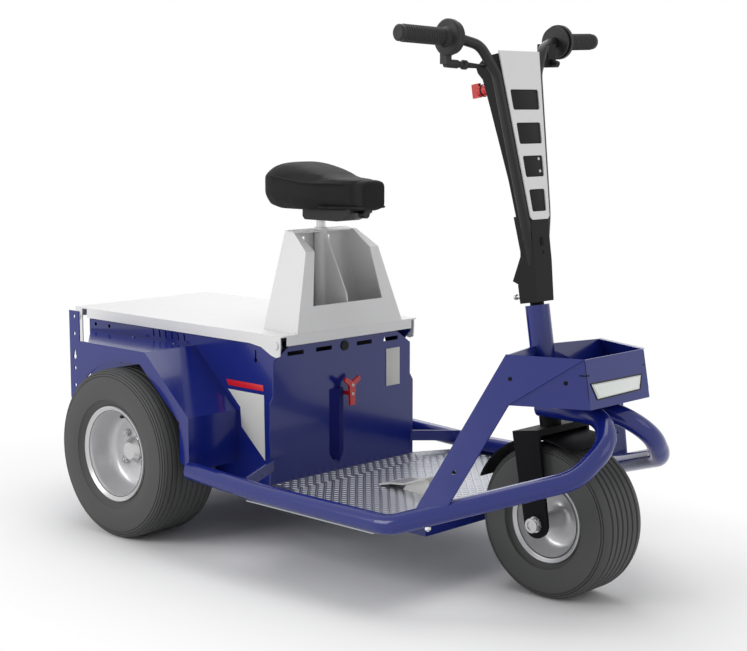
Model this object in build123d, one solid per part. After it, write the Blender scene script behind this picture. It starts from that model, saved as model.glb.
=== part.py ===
from build123d import *
import os
from math import cos, radians, sin

# Three-wheeled electric ride-on baggage tug: one STEP file per piece, in millimetres.
#
# Stations along X are measured forward from the rear axle, widths along Y from the centre plane (left
# is plus) and heights along Z from the ground. Everything is shifted along X when it is written, so
# that the middle of the tug's length is the row's origin.

# ------------------------------------------------------------------ driving sizes, mm
# Sheet metal, welds and fits
SHEET = 3.0                      # body and lid sheet
PLATE = 8.0                      # fork plates
SOFT_GAP = 0.3                   # air round soft, curved or loose-seated pieces
RUNNING_FIT = 0.05               # radial clearance of every turning shaft
WHEEL_GAP = 5.0                  # side clearance of a turning wheel's hub

# Wheels: 16 x 7.50 - 8 behind, 13 x 5.00 - 6 in front
WHEELBASE = 1040.0
REAR_TRACK = 648.0
REAR_TYRE_RADIUS = 205.0
REAR_TYRE_WIDTH = 172.0
REAR_BEAD_RADIUS = 101.5
REAR_FLANGE_RADIUS = 116.5
REAR_RIM_WIDTH = 152.0
REAR_STUB_RADIUS = 15.0
FRONT_TYRE_RADIUS = 165.5
FRONT_TYRE_WIDTH = 138.0
FRONT_BEAD_RADIUS = 76.0
FRONT_FLANGE_RADIUS = 90.0
FRONT_RIM_WIDTH = 112.0
FRONT_AXLE_RADIUS = 10.0
RIM_WALL = 4.0

# Battery box with its front panel
BOX_REAR = -360.0
BOX_FRONT = 384.0
BOX_HALF = 218.0                 # outer face of the side walls
BOX_JOGGLE = 18.0                # how far the walls step in at the rear corners
BOX_JOGGLE_LENGTH = 30.0
WALL_TOP = 498.0
TRAY_TOP = 290.0
PANEL_HALF = 231.0
PANEL_FOOT_HALF = 242.0
PANEL_FOOT_TOP = 354.0
SLOT_PITCHES = (-160.0, -68.0, 68.0, 160.0)
SLOT_LENGTH = 52.0
SLOT_HEIGHT = 10.0
SLOT_Z = 466.0
PLUG_NECK_RADIUS = 9.0
VENT_COUNT = 6
VENT_PITCH = 24.0
VENT_FIRST = -68.0
VENT_Z = 474.0
VENT_SHAPE = ((0.0, -9.0), (5.0, -9.0), (2.0, 9.0), (-3.0, 9.0))
WALL_HOLES = (-308.0, -250.0)
WALL_HOLE_Z = 473.0
WALL_HOLE_RADIUS = 5.0
WALL_KEYHOLE = (313.0, 447.0, 5.0, 22.0)    # station, height, radius and tail
PULL_HANDLE_OUTLINE = (
    (-8.0, 325.0), (8.0, 325.0), (10.0, 372.0), (27.0, 386.0), (22.0, 394.0), (0.0, 382.0),
    (-22.0, 394.0), (-27.0, 386.0), (-10.0, 372.0),
)
PULL_HANDLE_STANDOFF = 22.0
PULL_HANDLE_THICKNESS = 6.0
PULL_STEM_Z = 352.0
PLUG_HEAD_THICKNESS = 2.5
BATTERY_X = (-290.0, 340.0)
BATTERY_HALF = 185.0
BATTERY_HEIGHT = 185.0

# Lid, hinged at the front of the box
LID_REAR = -385.0
LID_FRONT = 412.0
LID_HALF = 226.0
LID_TOP = 513.0
LID_FLAP = 25.5
FRONT_FLAP_HALF = 209.0
HINGE_X = 392.0
HINGE_Z = 490.0
HINGE_PIN_RADIUS = 5.0

# Rear fenders with their drilled ears
FENDER_FACE = 371.0              # outer face of the outer panel
FENDER_TOP = 459.0
FENDER_FRONT = 250.0
FENDER_BEND = (92.0, 459.0)
FENDER_KNEE_Z = 322.5
FENDER_LIP = 31.0
ARCH_RADIUS = 218.0
EAR_REAR = -207.0
EAR_WIDTH = 40.0
EAR_TOP = 533.0
EAR_HOLE_RADIUS = 4.5
EAR_HOLE_X = -187.0
EAR_LOW_HOLE_Z = 304.0
EAR_HOLE_PITCH = 43.0
EAR_KEYHOLE = ((419.0, 6.5), (427.0, 4.5), (432.0, 3.5))   # height and radius of each round of the keyhole

# Step tube that carries the floor and loops up as a bumper to the head tube
TUBE_RADIUS = 21.2
TUBE_WALL = 3.0
TUBE_ROUTE = ((FENDER_FRONT, 366.0, 199.0), (490.0, 368.0, 188.0), (883.5, 368.0, 188.0),
              (1189.7, 150.0, 296.7), (1229.2, 23.5, 404.0), (1005.0, 34.0, 405.4))
TUBE_BENDS = (500.0, 70.0, 92.5, 84.9)

# Floor
FLOOR_FRONT = 845.0
FLOOR_HALF = 374.0
RAIL_HALF = 215.0
RAIL_WIDTH = 35.0
RAIL_HEIGHT = 37.0
CROSS_MEMBERS = (-340.0, 340.0, FLOOR_FRONT - 30.0)
CROSS_MEMBER_WIDTH = 30.0
CORNER_STRUT_FOOT = (440.0, 362.0, 200.0)
CORNER_STRUT_Z = 212.0
CORNER_STRUT_SECTION = (26.0, 5.0)
PEDAL_SIDES = (-76.0, -12.0)
PEDAL_TREADLE = ((575.0, 173.0), (612.0, 182.0), (650.0, 186.0), (690.0, 200.0), (718.0, 208.0))
PEDAL_THICKNESS = 4.0
PEDAL_WEDGE_INSET = 12.0

# Basket, legs and head lamp
RIM_Z = 530.0
RIM_REAR = (1014.0, 159.0)
RIM_FRONT = (1169.0, 102.0)
RIM_APEX = 971.0
BASKET_SIDE_LOW = (1049.1, 191.7, 434.2)
BASKET_FRONT_LOW = (1187.0, 103.0, 430.0)
LEG_FEET = ((929.2, 333.7, 228.5), (996.0, 296.4, 255.1))
LEG_SHEET = 4.0
LEG_HOLE = (982.0, 280.5, 299.0)
LEG_HOLE_RADIUS = 4.5
LEG_FOOT_OVERLAP = 22.0          # how far the flat plate is drawn into the tube before it is cut to it
LAMP_OUTLINE = ((-93.0, 481.0), (84.0, 480.0), (72.0, 450.0), (-77.0, 448.0))

# Steering: everything below is measured along (w) and across (u, forward) the raked axis
RAKE = 9.2
STEM_RADIUS = 15.0
HEAD_RADIUS = 26.0
HEAD_LOW = 224.0
HEAD_HIGH = 455.0
FORK_INSIDE = 80.0
CROWN_HEIGHT = 14.0
CROWN_TOP = 198.0
CROWN_HALF_LENGTH = 34.0
DROPOUT_RADIUS = 30.0
MUDGUARD_RADIUS = 178.0
MUDGUARD_SIDE_GAP = 6.0
MUDGUARD_ANGLES = (55.8, 145.8)  # front and rear end, up from the fork's forward direction
COLUMN_FOOT = 461.0
COLUMN_TOP = 990.0
FACE_FOOT = 634.0
FACE_FRONTS = (35.0, 29.0)       # how far the face lies ahead of the axis at its foot and top
FACE_HALVES = (31.0, 67.0)
FACE_WINDOWS = (                 # lower edge, upper edge, half-width at the upper edge
    (866.0, 909.0, 47.0),
    (794.0, 839.0, 40.5),
    (724.0, 769.0, 33.5),
    (651.0, 698.0, 26.5),
)
COLUMN_SIDE_INSET = 7.0          # housing's side behind the face's edge
COLUMN_LOWER = (                 # side view of the lower column
    (-23.0, COLUMN_FOOT), (23.5, COLUMN_FOOT), (29.6, 546.0), (31.0, 634.0), (31.0, 645.0),
    (-13.0, 645.0), (-6.0, 570.0), (-12.0, 528.0), (-23.0, 500.0),
)
COLUMN_LOWER_HALVES = (28.0, 30.0)
COLUMN_UPPER = (                 # side view of the upper column
    (-10.0, 636.0), (26.0, 636.0), (26.0, 986.0), (-14.0, 986.0), (-46.0, 968.0), (-44.0, 955.0),
    (-34.0, 940.0), (-28.0, 887.0), (-13.0, 724.0),
)
COLUMN_HOOK = ((-5.0, 566.0), (-28.0, 560.0), (-56.0, 510.0), (-38.0, 500.0), (-15.0, 500.0))
BAR_RADIUS = 11.0
BAR_ROUTE = ((-14.0, 318.0, 1027.0), (-3.0, 158.0, 1019.0), (11.0, 106.0, 1003.0),
             (16.0, 68.0, 945.0), (21.0, 36.5, 643.0), (12.0, 14.0, 520.0))
BAR_BENDS = (60.0, 45.0, 45.0, 300.0)
GRIP_RADIUS = 17.0
GRIP_LENGTH = 129.0
DISC_RADIUS = 37.5

# Seat and the tower that carries it
TOWER_FRONT = 410.0
TOWER_REAR = 281.0
TOWER_FOOT_HALF = 176.0
TOWER_TOP = 742.0
TOWER_OPENING = ((116.0, 572.0), (92.0, 700.0), (92.0, 760.0))
TOWER_SLOTS = (-42.0, 42.0)
TOWER_SLOT_Z = (700.0, 724.0)
TOWER_FIN = ((282.0, 513.0), (408.0, 513.0), (406.0, 570.0), (339.0, 704.0), (330.0, 730.0), (282.0, 730.0))
POST_X = 308.0
POST_RADIUS = 11.0
POST_TOP = 765.0
SLEEVE_RADIUS = 16.0
BRACKET_HALF = 38.0
KNOB_Z = 783.0
PAN_BOTTOM = 797.0
PAN_THICKNESS = 5.0
SADDLE_PLAN = ((491.0, 38.0), (462.0, 43.0), (335.0, 108.0), (240.0, 113.0), (190.0, 52.0))
SADDLE_CORNERS = (10.0, 60.0, 60.0, 62.0, 70.0)
SADDLE_PROFILE = (               # side view
    (245.0, PAN_BOTTOM), (481.0, PAN_BOTTOM), (491.0, 808.0), (491.0, 855.0), (484.0, 861.0), (440.0, 858.0),
    (400.0, 861.0), (345.0, 873.0), (300.0, 887.0), (265.0, 894.0), (235.0, 897.0), (208.0, 891.0),
    (191.0, 874.0), (186.0, 850.0), (192.0, 827.0),
)
SADDLE_FLANK = ((68.0, PAN_BOTTOM), (113.0, 827.0), (113.0, 852.0))
SADDLE_CROWN = 898.0

# Drive, battery and tow hitch
AXLE_TUBE_RADIUS = 30.0
HITCH_REAR = -428.0
HITCH_BORE_X = -404.0
HITCH_BORE_RADIUS = 12.5
HITCH_PLATE = 8.0
HITCH_PLATE_HALF = (75.0, 65.0)  # half its width and half its height
HITCH_JAW = 12.0
HITCH_GAP = 46.0
HITCH_Z = 318.0

# ------------------------------------------------------------------ sizes that follow from them
REAR_AXLE_Z = REAR_TYRE_RADIUS
FRONT_AXLE_Z = FRONT_TYRE_RADIUS
REAR_WHEEL_Y = REAR_TRACK / 2
REAR_HUB_INSIDE = REAR_RIM_WIDTH / 2 + 2.0
LID_UNDER = LID_TOP - SHEET
FLOOR_TOP = TUBE_ROUTE[1][2] - TUBE_RADIUS
FLOOR_UNDER = FLOOR_TOP - SHEET
TUBE_NOSE = 1227.0
ORIGIN_X = (HITCH_REAR + TUBE_NOSE) / 2

STEER = Plane(
    origin=(WHEELBASE, 0, FRONT_AXLE_Z),
    x_dir=(cos(radians(RAKE)), 0, sin(radians(RAKE))),
    z_dir=(-sin(radians(RAKE)), 0, cos(radians(RAKE))),
)


# ------------------------------------------------------------------ helpers
def outline(points):
    """Flat face inside a closed polygon."""
    return make_face(Polyline(*points, close=True))


def side_plate(points, low, high):
    """Solid with an X-Z outline between two widths."""
    plane = Plane(origin=(0, high, 0), x_dir=(1, 0, 0), z_dir=(0, -1, 0))
    return extrude(plane * outline(points), amount=high - low)


def cross_plate(points, low, high):
    """Solid with a Y-Z outline between two stations."""
    plane = Plane(origin=(low, 0, 0), x_dir=(0, 1, 0), z_dir=(1, 0, 0))
    return extrude(plane * outline(points), amount=high - low)


def flat_plate(points, low, high):
    """Solid with an X-Y outline between two heights."""
    return extrude(Plane.XY.offset(low) * outline(points), amount=high - low)


def block(x, y, z):
    """Box between the two limits of each axis."""
    size = [high - low for low, high in (x, y, z)]
    middle = [(high + low) / 2 for low, high in (x, y, z)]
    return Pos(*middle) * Box(*size)


def rod(start, end, radius):
    """Round bar from one point to another."""
    axis = Vector(*end) - Vector(*start)
    return extrude(Plane(origin=start, z_dir=axis) * Circle(radius), amount=axis.length)


def swept(points, bends, section):
    """Section carried along straight runs joined by arcs."""
    path = FilletPolyline(*points, radius=list(bends))
    return sweep(Plane(origin=path @ 0, z_dir=path % 0) * section, path=path)


def turned(points):
    """Solid of revolution about Y from a closed outline of (radius, distance along Y)."""
    return revolve(outline(points), axis=Axis.Y)


def mirrored(shape):
    """The same piece on the other side of the centre plane."""
    return mirror(shape, about=Plane.XZ)


def pair(shape):
    """Two pieces that don't touch: the given one and its mirror image."""
    return Compound([shape, mirrored(shape)])


def both_sides(points):
    """Outline of (x, y) points on the left, closed by the same points mirrored to the right."""
    return list(points) + [(x, -y) for x, y in reversed(points)]


def both_sides_yz(points):
    """Outline of (y, z) points on the left, closed by the same points mirrored to the right."""
    return list(points) + [(-y, z) for y, z in reversed(points)]


# ------------------------------------------------------------------ wheels
def tyre(radius, width, bead_radius, flange_radius, rim_width):
    """Tyre with round side walls, shoulders and a slightly crowned tread, about Y at the origin."""
    half = width / 2
    bead = rim_width / 2 - RIM_WALL - 1.5
    shoulder = radius - 0.06 * radius
    wall_middle = (flange_radius + shoulder) / 2
    edge = half - 0.22 * half
    crown = radius - 1.5
    side = [(flange_radius + 1.0, bead), (wall_middle, half), (shoulder, half - 0.05 * half)]
    turn = [side[2], (radius - 0.022 * radius, (edge + side[2][1]) / 2), (crown, edge)]
    lines = [
        Line((bead_radius, -bead), (bead_radius, bead)),
        Line((bead_radius, bead), side[0]),
        ThreePointArc(*side),
        ThreePointArc(*turn),
        ThreePointArc(turn[2], (radius, 0), (crown, -edge)),
        ThreePointArc(*[(r, -y) for r, y in reversed(turn)]),
        ThreePointArc(*[(r, -y) for r, y in reversed(side)]),
        Line((side[0][0], -bead), (bead_radius, -bead)),
    ]
    return revolve(make_face(Curve() + lines), axis=Axis.Y)


def rear_rim():
    """Deep-dished pressed rim, its dish open to +Y."""
    edge = REAR_RIM_WIDTH / 2
    seat = edge - RIM_WALL - 1.2
    barrel = REAR_BEAD_RADIUS - SOFT_GAP
    inner = barrel - RIM_WALL
    return turned([
        (REAR_FLANGE_RADIUS, edge), (REAR_FLANGE_RADIUS, seat), (barrel, seat),
        (barrel, -seat), (REAR_FLANGE_RADIUS, -seat), (REAR_FLANGE_RADIUS, -edge), (inner, -edge),
        (inner, 12), (inner - 14, -2), (30, -2), (30, 4), (inner - 14, 4), (inner, 20), (inner, edge),
    ])


def rear_hub():
    """Hub bolted behind the rim's dish, with its cap standing out through the middle."""
    bore = REAR_STUB_RADIUS + RUNNING_FIT
    return turned([
        (bore, -REAR_HUB_INSIDE), (32, -REAR_HUB_INSIDE), (32, -12), (55, -12), (55, -2),
        (29.7, -2), (29.7, 18), (21, 29), (0, 29), (0, 12), (bore, 12),
    ])


def front_rim():
    """Two-sided dished rim with its long hub."""
    edge = FRONT_RIM_WIDTH / 2
    seat = edge - RIM_WALL - 1.2
    barrel = FRONT_BEAD_RADIUS - SOFT_GAP
    inner = barrel - RIM_WALL
    hub = FORK_INSIDE - WHEEL_GAP + 1.0
    half = [
        (FRONT_FLANGE_RADIUS, edge), (inner, edge), (inner, 14), (inner - 16, 3), (24, 3), (24, hub),
        (FRONT_AXLE_RADIUS + RUNNING_FIT, hub),
    ]
    other = [(r, -y) for r, y in reversed(half)]
    outside = [(FRONT_FLANGE_RADIUS, -seat), (barrel, -seat), (barrel, seat), (FRONT_FLANGE_RADIUS, seat)]
    return turned(half + other + outside)


def front_axle():
    """Through axle with a shoulder inside and a nut outside each fork plate."""
    outside = FORK_INSIDE + PLATE
    axle = rod((0, -outside, 0), (0, outside, 0), FRONT_AXLE_RADIUS)
    for side in (-1, 1):
        axle += rod((0, side * (FORK_INSIDE - 3.0), 0), (0, side * FORK_INSIDE, 0), 16)
        axle += rod((0, side * outside, 0), (0, side * (outside + 3), 0), 17)
        nut = extrude(RegularPolygon(9.5, 6, major_radius=False), amount=11)
        axle += Pos(0, side * (outside + 3), 0) * Rot(-90 * side, 0, 0) * nut
    return axle


# ------------------------------------------------------------------ battery box
def wall_plan(inset):
    """Plan of the box walls, stepped in at the rear corners, moved inwards by inset."""
    step = BOX_HALF - BOX_JOGGLE - inset
    return both_sides([
        (BOX_FRONT, BOX_HALF - inset), (BOX_REAR + BOX_JOGGLE_LENGTH + inset, BOX_HALF - inset),
        (BOX_REAR + BOX_JOGGLE_LENGTH + inset, step), (BOX_REAR + inset, step),
    ])


def keyhole(x, z, radius, tail):
    """Cutter through a side wall: a round hole with a narrow slot above it."""
    hole = extrude(Circle(radius), amount=2 * BOX_HALF, both=True)
    neck = Pos(0, tail / 2, 0) * extrude(SlotOverall(tail + radius, radius, rotation=90),
                                         amount=2 * BOX_HALF, both=True)
    return Pos(x, 0, z) * Rot(90, 0, 0) * (hole + neck)


def battery_box():
    """Open box of bent sheet with a battery tray, hinge ears, vents and a notch over the axle."""
    box = flat_plate(wall_plan(0), FLOOR_UNDER, WALL_TOP)
    box -= flat_plate(wall_plan(SHEET), FLOOR_UNDER, TRAY_TOP - SHEET)
    box -= flat_plate(wall_plan(SHEET), TRAY_TOP, WALL_TOP)
    notch = AXLE_TUBE_RADIUS + 14
    box -= rod((0, -BOX_HALF - 1, REAR_AXLE_Z), (0, BOX_HALF + 1, REAR_AXLE_Z), notch)
    box -= block((-notch, notch), (-BOX_HALF - 1, BOX_HALF + 1), (FLOOR_UNDER, REAR_AXLE_Z))
    vent = outline(VENT_SHAPE)
    plane = Plane(origin=(0, BOX_HALF + 1, 0), x_dir=(1, 0, 0), z_dir=(0, -1, 0))
    for index in range(VENT_COUNT):
        place = Pos(VENT_FIRST + index * VENT_PITCH, VENT_Z, 0)
        box -= extrude(plane * (place * vent), amount=2 * BOX_HALF + 2)
    box -= keyhole(*WALL_KEYHOLE)
    for x in WALL_HOLES:
        box -= rod((x, -BOX_HALF - 1, WALL_HOLE_Z), (x, BOX_HALF + 1, WALL_HOLE_Z), WALL_HOLE_RADIUS)
    ear = [(BOX_FRONT, HINGE_Z - 28), (HINGE_X + 9, HINGE_Z - 8), (HINGE_X + 9, HINGE_Z + 10),
           (BOX_FRONT + 5, HINGE_Z + 10), (BOX_FRONT + 5, WALL_TOP), (BOX_FRONT, WALL_TOP)]
    right = side_plate(ear, -BOX_HALF, SHEET - BOX_HALF)
    return box + right + mirrored(right)


def front_panel():
    """Sheet that closes the box in front, chamfered above and stepped out at its foot."""
    edge = [(PANEL_FOOT_HALF, FLOOR_TOP), (PANEL_FOOT_HALF, PANEL_FOOT_TOP), (PANEL_HALF, 371),
            (PANEL_HALF, 450), (160, WALL_TOP)]
    panel = cross_plate(both_sides_yz(edge), BOX_FRONT, BOX_FRONT + SHEET)
    for place in SLOT_PITCHES:
        panel -= block((BOX_FRONT, BOX_FRONT + SHEET), (place - SLOT_LENGTH / 2, place + SLOT_LENGTH / 2),
                       (SLOT_Z - SLOT_HEIGHT / 2, SLOT_Z + SLOT_HEIGHT / 2))
    panel -= rod((BOX_FRONT, 0, SLOT_Z), (BOX_FRONT + SHEET, 0, SLOT_Z), PLUG_NECK_RADIUS)
    return panel


def lid_seal():
    """Rubber strip along the top of the walls."""
    top = LID_UNDER - SOFT_GAP
    ring = flat_plate(wall_plan(-1), WALL_TOP, top) - flat_plate(wall_plan(7), WALL_TOP, top)
    return ring + block((BOX_FRONT - 5, BOX_FRONT + SHEET), (7 - BOX_HALF, BOX_HALF - 7), (WALL_TOP, top))


def panel_plug():
    """Round plug in the middle of the front panel."""
    front = BOX_FRONT + SHEET
    neck = rod((front - 8, 0, SLOT_Z), (front, 0, SLOT_Z), PLUG_NECK_RADIUS)
    return neck + rod((front, 0, SLOT_Z), (front + PLUG_HEAD_THICKNESS, 0, SLOT_Z), PLUG_NECK_RADIUS + 3)


def pull_handle():
    """Flat Y-shaped handle on a stem through the front panel."""
    front = BOX_FRONT + SHEET
    grip = front + PULL_HANDLE_STANDOFF
    handle = cross_plate(PULL_HANDLE_OUTLINE, grip, grip + PULL_HANDLE_THICKNESS)
    return handle + rod((front, 0, PULL_STEM_Z), (grip, 0, PULL_STEM_Z), 5)


def battery_block():
    """Traction battery, one plain block on the tray."""
    return block(BATTERY_X, (-BATTERY_HALF, BATTERY_HALF), (TRAY_TOP, TRAY_TOP + BATTERY_HEIGHT))


# ------------------------------------------------------------------ lid
def lid_cover():
    """Folded lid: top sheet, flaps all round, hinge gussets in front and latch tongues behind."""
    half = LID_HALF
    low = LID_TOP - LID_FLAP
    inner = half - SHEET
    top = block((LID_REAR, LID_FRONT), (-half, half), (LID_UNDER, LID_TOP))
    flap = side_plate([
        (-335, LID_UNDER), (-335, low), (300, low), (340, low - 5), (375, 466), (HINGE_X, 462),
        (HINGE_X + 12, 466), (HINGE_X + 14, low), (HINGE_X + 14, LID_UNDER),
    ], inner, half)
    tongue = side_plate([(LID_REAR, LID_UNDER), (LID_REAR, 418), (-356, 418), (-356, LID_UNDER)], inner, half)
    bore = rod((HINGE_X, inner - 1, HINGE_Z), (HINGE_X, half + 1, HINGE_Z), HINGE_PIN_RADIUS + RUNNING_FIT)
    side = flap + tongue - bore
    front = block((LID_FRONT - SHEET, LID_FRONT), (-FRONT_FLAP_HALF, FRONT_FLAP_HALF), (low + 1.5, LID_UNDER))
    rear = block((LID_REAR, LID_REAR + SHEET), (-inner, inner), (low, LID_UNDER))
    return top + side + mirrored(side) + front + rear


def hinge_pins():
    """Shouldered pins from the box ears through the lid's gussets."""
    pin = rod((HINGE_X, BOX_HALF, HINGE_Z), (HINGE_X, LID_HALF + 1, HINGE_Z), HINGE_PIN_RADIUS)
    pin += rod((HINGE_X, LID_HALF + 0.5, HINGE_Z), (HINGE_X, LID_HALF + 4, HINGE_Z), 9)
    return pair(pin)


def tower_half(x, z):
    """Half-width of the seat tower's outer face at a station and height."""
    return TOWER_FOOT_HALF + 0.093 * (x - TOWER_FRONT) - 0.2848 * (z - LID_TOP)


def tower_body(inset):
    """Closed outer form of the seat tower, moved inwards by inset."""
    profile = [(TOWER_FRONT - inset, LID_TOP), (382 - inset, 697), (324 - inset, 738 - inset),
               (TOWER_REAR + 8 + inset, TOWER_TOP), (TOWER_REAR + inset, LID_TOP)]
    body = side_plate(profile, -300, 300)
    corners = [(TOWER_FRONT, LID_TOP), (TOWER_REAR, LID_TOP), (382, 697)]
    right = [Vector(x, inset - tower_half(x, z), z) for x, z in corners]
    normal = (right[1] - right[0]).cross(right[2] - right[0]).normalized()
    if normal.Y > 0:
        normal = normal * -1
    cutter = Plane(origin=right[0], z_dir=normal) * Pos(0, 0, 500) * Box(2000, 2000, 1000)
    body -= cutter
    return body - mirrored(cutter)


def seat_tower():
    """Tapered pedestal of sheet, open above and in front, with the post's sleeve and its centre fin."""
    tower = tower_body(0) - tower_body(SHEET)
    tower -= cross_plate(both_sides_yz(TOWER_OPENING), TOWER_REAR + 40, TOWER_FRONT)
    for y in TOWER_SLOTS:
        tower -= block((TOWER_REAR, TOWER_REAR + 12), (y - 4, y + 4), TOWER_SLOT_Z)
    fin = side_plate(TOWER_FIN, -SHEET / 2, SHEET / 2) & tower_body(SHEET)
    sleeve = rod((POST_X, 0, LID_TOP), (POST_X, 0, TOWER_TOP + 3), SLEEVE_RADIUS)
    bore = rod((POST_X, 0, LID_TOP), (POST_X, 0, TOWER_TOP + 3), POST_RADIUS + SOFT_GAP)
    return tower + fin + sleeve - bore


def seat_post():
    """Round post through the tower's sleeve up to the seat bracket."""
    return rod((POST_X, 0, LID_TOP + 40), (POST_X, 0, POST_TOP), POST_RADIUS)


def seat_bracket():
    """Folded bracket between post and saddle with its slide knob."""
    top = PAN_BOTTOM - SOFT_GAP
    shape = [(284, top), (284, 772), (292, POST_TOP), (400, POST_TOP), (420, 772), (443, 785), (443, top)]
    body = side_plate(shape, -BRACKET_HALF, BRACKET_HALF)
    return body + rod((443, 0, KNOB_Z), (462, 0, KNOB_Z), 10)


def saddle():
    """Saddle's whole form: round behind, narrowing to its nose, domed across and falling forwards."""
    plan = outline(both_sides(SADDLE_PLAN))
    for corner, radius in zip(SADDLE_PLAN, SADDLE_CORNERS):
        for side in (1, -1):
            place = Vector(corner[0], side * corner[1], 0)
            plan = fillet(plan.vertices().sort_by_distance(place)[0], radius)
    body = extrude(Plane.XY.offset(PAN_BOTTOM) * plan, amount=SADDLE_CROWN - PAN_BOTTOM + 10)
    body &= side_plate(SADDLE_PROFILE, -200, 200)
    edge, high = SADDLE_FLANK[-1]
    lines = [
        Polyline(*SADDLE_FLANK),
        ThreePointArc((edge, high), (0, SADDLE_CROWN), (-edge, high)),
        Polyline(*[(-y, z) for y, z in reversed(SADDLE_FLANK)]),
        Line((-SADDLE_FLANK[0][0], PAN_BOTTOM), (SADDLE_FLANK[0][0], PAN_BOTTOM)),
    ]
    plane = Plane(origin=(100, 0, 0), x_dir=(0, 1, 0), z_dir=(1, 0, 0))
    return body & extrude(plane * make_face(Curve() + lines), amount=500)


def seat_pan():
    """Stiff base under the saddle's foam."""
    return saddle() & block((0, 600), (-200, 200), (PAN_BOTTOM, PAN_BOTTOM + PAN_THICKNESS))


def seat_cushion():
    """Saddle's covered foam above the pan."""
    low = PAN_BOTTOM + PAN_THICKNESS + SOFT_GAP
    return saddle() & block((0, 600), (-200, 200), (low, SADDLE_CROWN + 10))


# ------------------------------------------------------------------ fenders
def fender_profile(inset):
    """Side view of the fender's skin, moved inwards by inset."""
    return [(BOX_REAR + BOX_JOGGLE_LENGTH, FENDER_TOP - inset), (FENDER_BEND[0] - 0.4 * inset, FENDER_TOP - inset),
            (FENDER_FRONT - inset, FENDER_KNEE_Z - 0.4 * inset), (FENDER_FRONT - inset, 197)]


def fender():
    """Left fender: top, slope and front of folded sheet and an outer panel with arch and ear."""
    outside = fender_profile(0)
    skin = side_plate(outside + list(reversed(fender_profile(SHEET))), BOX_HALF, FENDER_FACE)
    corner = [(BOX_REAR - 1, BOX_HALF), (BOX_REAR + BOX_JOGGLE_LENGTH, BOX_HALF),
              (EAR_REAR + EAR_WIDTH + 37, FENDER_FACE), (BOX_REAR - 1, FENDER_FACE)]
    skin -= flat_plate(corner, FENDER_TOP - 40, FENDER_TOP + 1)
    panel = [
        (EAR_REAR, 317), (EAR_REAR, EAR_TOP), (EAR_REAR + EAR_WIDTH, EAR_TOP), (EAR_REAR + EAR_WIDTH, FENDER_TOP),
        FENDER_BEND, (FENDER_FRONT, FENDER_KNEE_Z), (FENDER_FRONT, 197), (217, 217), (217, 308),
        (73, FENDER_TOP - FENDER_LIP), (0, FENDER_TOP - FENDER_LIP - 3), (-199, REAR_AXLE_Z), (-199, 280),
    ]
    outer = side_plate(panel, FENDER_FACE - SHEET, FENDER_FACE)
    outer -= rod((0, FENDER_FACE - 10, REAR_AXLE_Z), (0, FENDER_FACE + 10, REAR_AXLE_Z), ARCH_RADIUS)
    for z in ear_hole_heights():
        outer -= rod((EAR_HOLE_X, FENDER_FACE - 10, z), (EAR_HOLE_X, FENDER_FACE + 10, z), EAR_HOLE_RADIUS)
    for z, radius in EAR_KEYHOLE:
        outer -= rod((EAR_HOLE_X, FENDER_FACE - 10, z), (EAR_HOLE_X, FENDER_FACE + 10, z), radius)
    return skin + outer


def ear_hole_heights():
    """Heights of the ear's round holes: three below the keyhole and two above."""
    return [EAR_LOW_HOLE_Z + EAR_HOLE_PITCH * step for step in (0, 1, 2, 4, 5)]


# ------------------------------------------------------------------ tubes and floor
def step_tube():
    """Left tube: along the floor, round in front of the wheel and back to the head tube."""
    first, second = Vector(*TUBE_ROUTE[0]), Vector(*TUBE_ROUTE[1])
    start = first - (second - first).normalized() * 6
    points = [tuple(start)] + list(TUBE_ROUTE[1:])
    tube = swept(points, TUBE_BENDS, Circle(TUBE_RADIUS) - Circle(TUBE_RADIUS - TUBE_WALL))
    tube -= block((FENDER_FRONT - 40, FENDER_FRONT), (300, 450), (100, 300))
    tube -= STEER * cylinder_along_axis(HEAD_RADIUS, HEAD_LOW - 40, HEAD_HIGH)
    return tube + corner_strut()


def step_tube_core():
    """The tube's outside as a solid, for cutting what is welded to it."""
    return swept(TUBE_ROUTE, TUBE_BENDS, Circle(TUBE_RADIUS))


def corner_strut():
    """Flat bar from the front panel's lower corner to the step tube."""
    start = Vector(BOX_FRONT + SHEET, PANEL_FOOT_HALF - 10, CORNER_STRUT_Z)
    axis = Vector(*CORNER_STRUT_FOOT) - start
    bar = extrude(Plane(origin=start, x_dir=(0, 0, 1), z_dir=axis) * Rectangle(*CORNER_STRUT_SECTION),
                  amount=axis.length)
    bar -= block((BOX_FRONT - 20, BOX_FRONT + SHEET), (0, 300), (100, 300))
    return bar - step_tube_core()


def floor_frame():
    """Ladder of two rails and three cross members under box and floor."""
    low = FLOOR_UNDER - RAIL_HEIGHT
    inside = RAIL_HALF - RAIL_WIDTH
    frame = block((BOX_REAR + 20, FLOOR_FRONT), (inside, RAIL_HALF), (low, FLOOR_UNDER))
    frame += mirrored(frame)
    for x in CROSS_MEMBERS:
        frame += block((x, x + CROSS_MEMBER_WIDTH), (-inside, inside), (low, FLOOR_UNDER))
    return frame


def tread_plate():
    """Chequer plate from the box to the front wheel, its edges under the step tubes."""
    plan = both_sides([(BOX_FRONT, PANEL_FOOT_HALF), (452, FLOOR_HALF), (FLOOR_FRONT, FLOOR_HALF)])
    return flat_plate(plan, FLOOR_UNDER, FLOOR_TOP)


def pedal():
    """Accelerator: a curved treadle on a wedge foot, right of the middle."""
    low, high = PEDAL_SIDES
    under = [(x, z - PEDAL_THICKNESS) for x, z in PEDAL_TREADLE]
    treadle = side_plate(list(PEDAL_TREADLE) + list(reversed(under)), low, high)
    wedge = side_plate([(under[2][0] - 10, FLOOR_TOP), (under[-1][0], FLOOR_TOP)] + list(reversed(under[2:])),
                       low + PEDAL_WEDGE_INSET, high - PEDAL_WEDGE_INSET)
    return treadle + wedge


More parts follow.
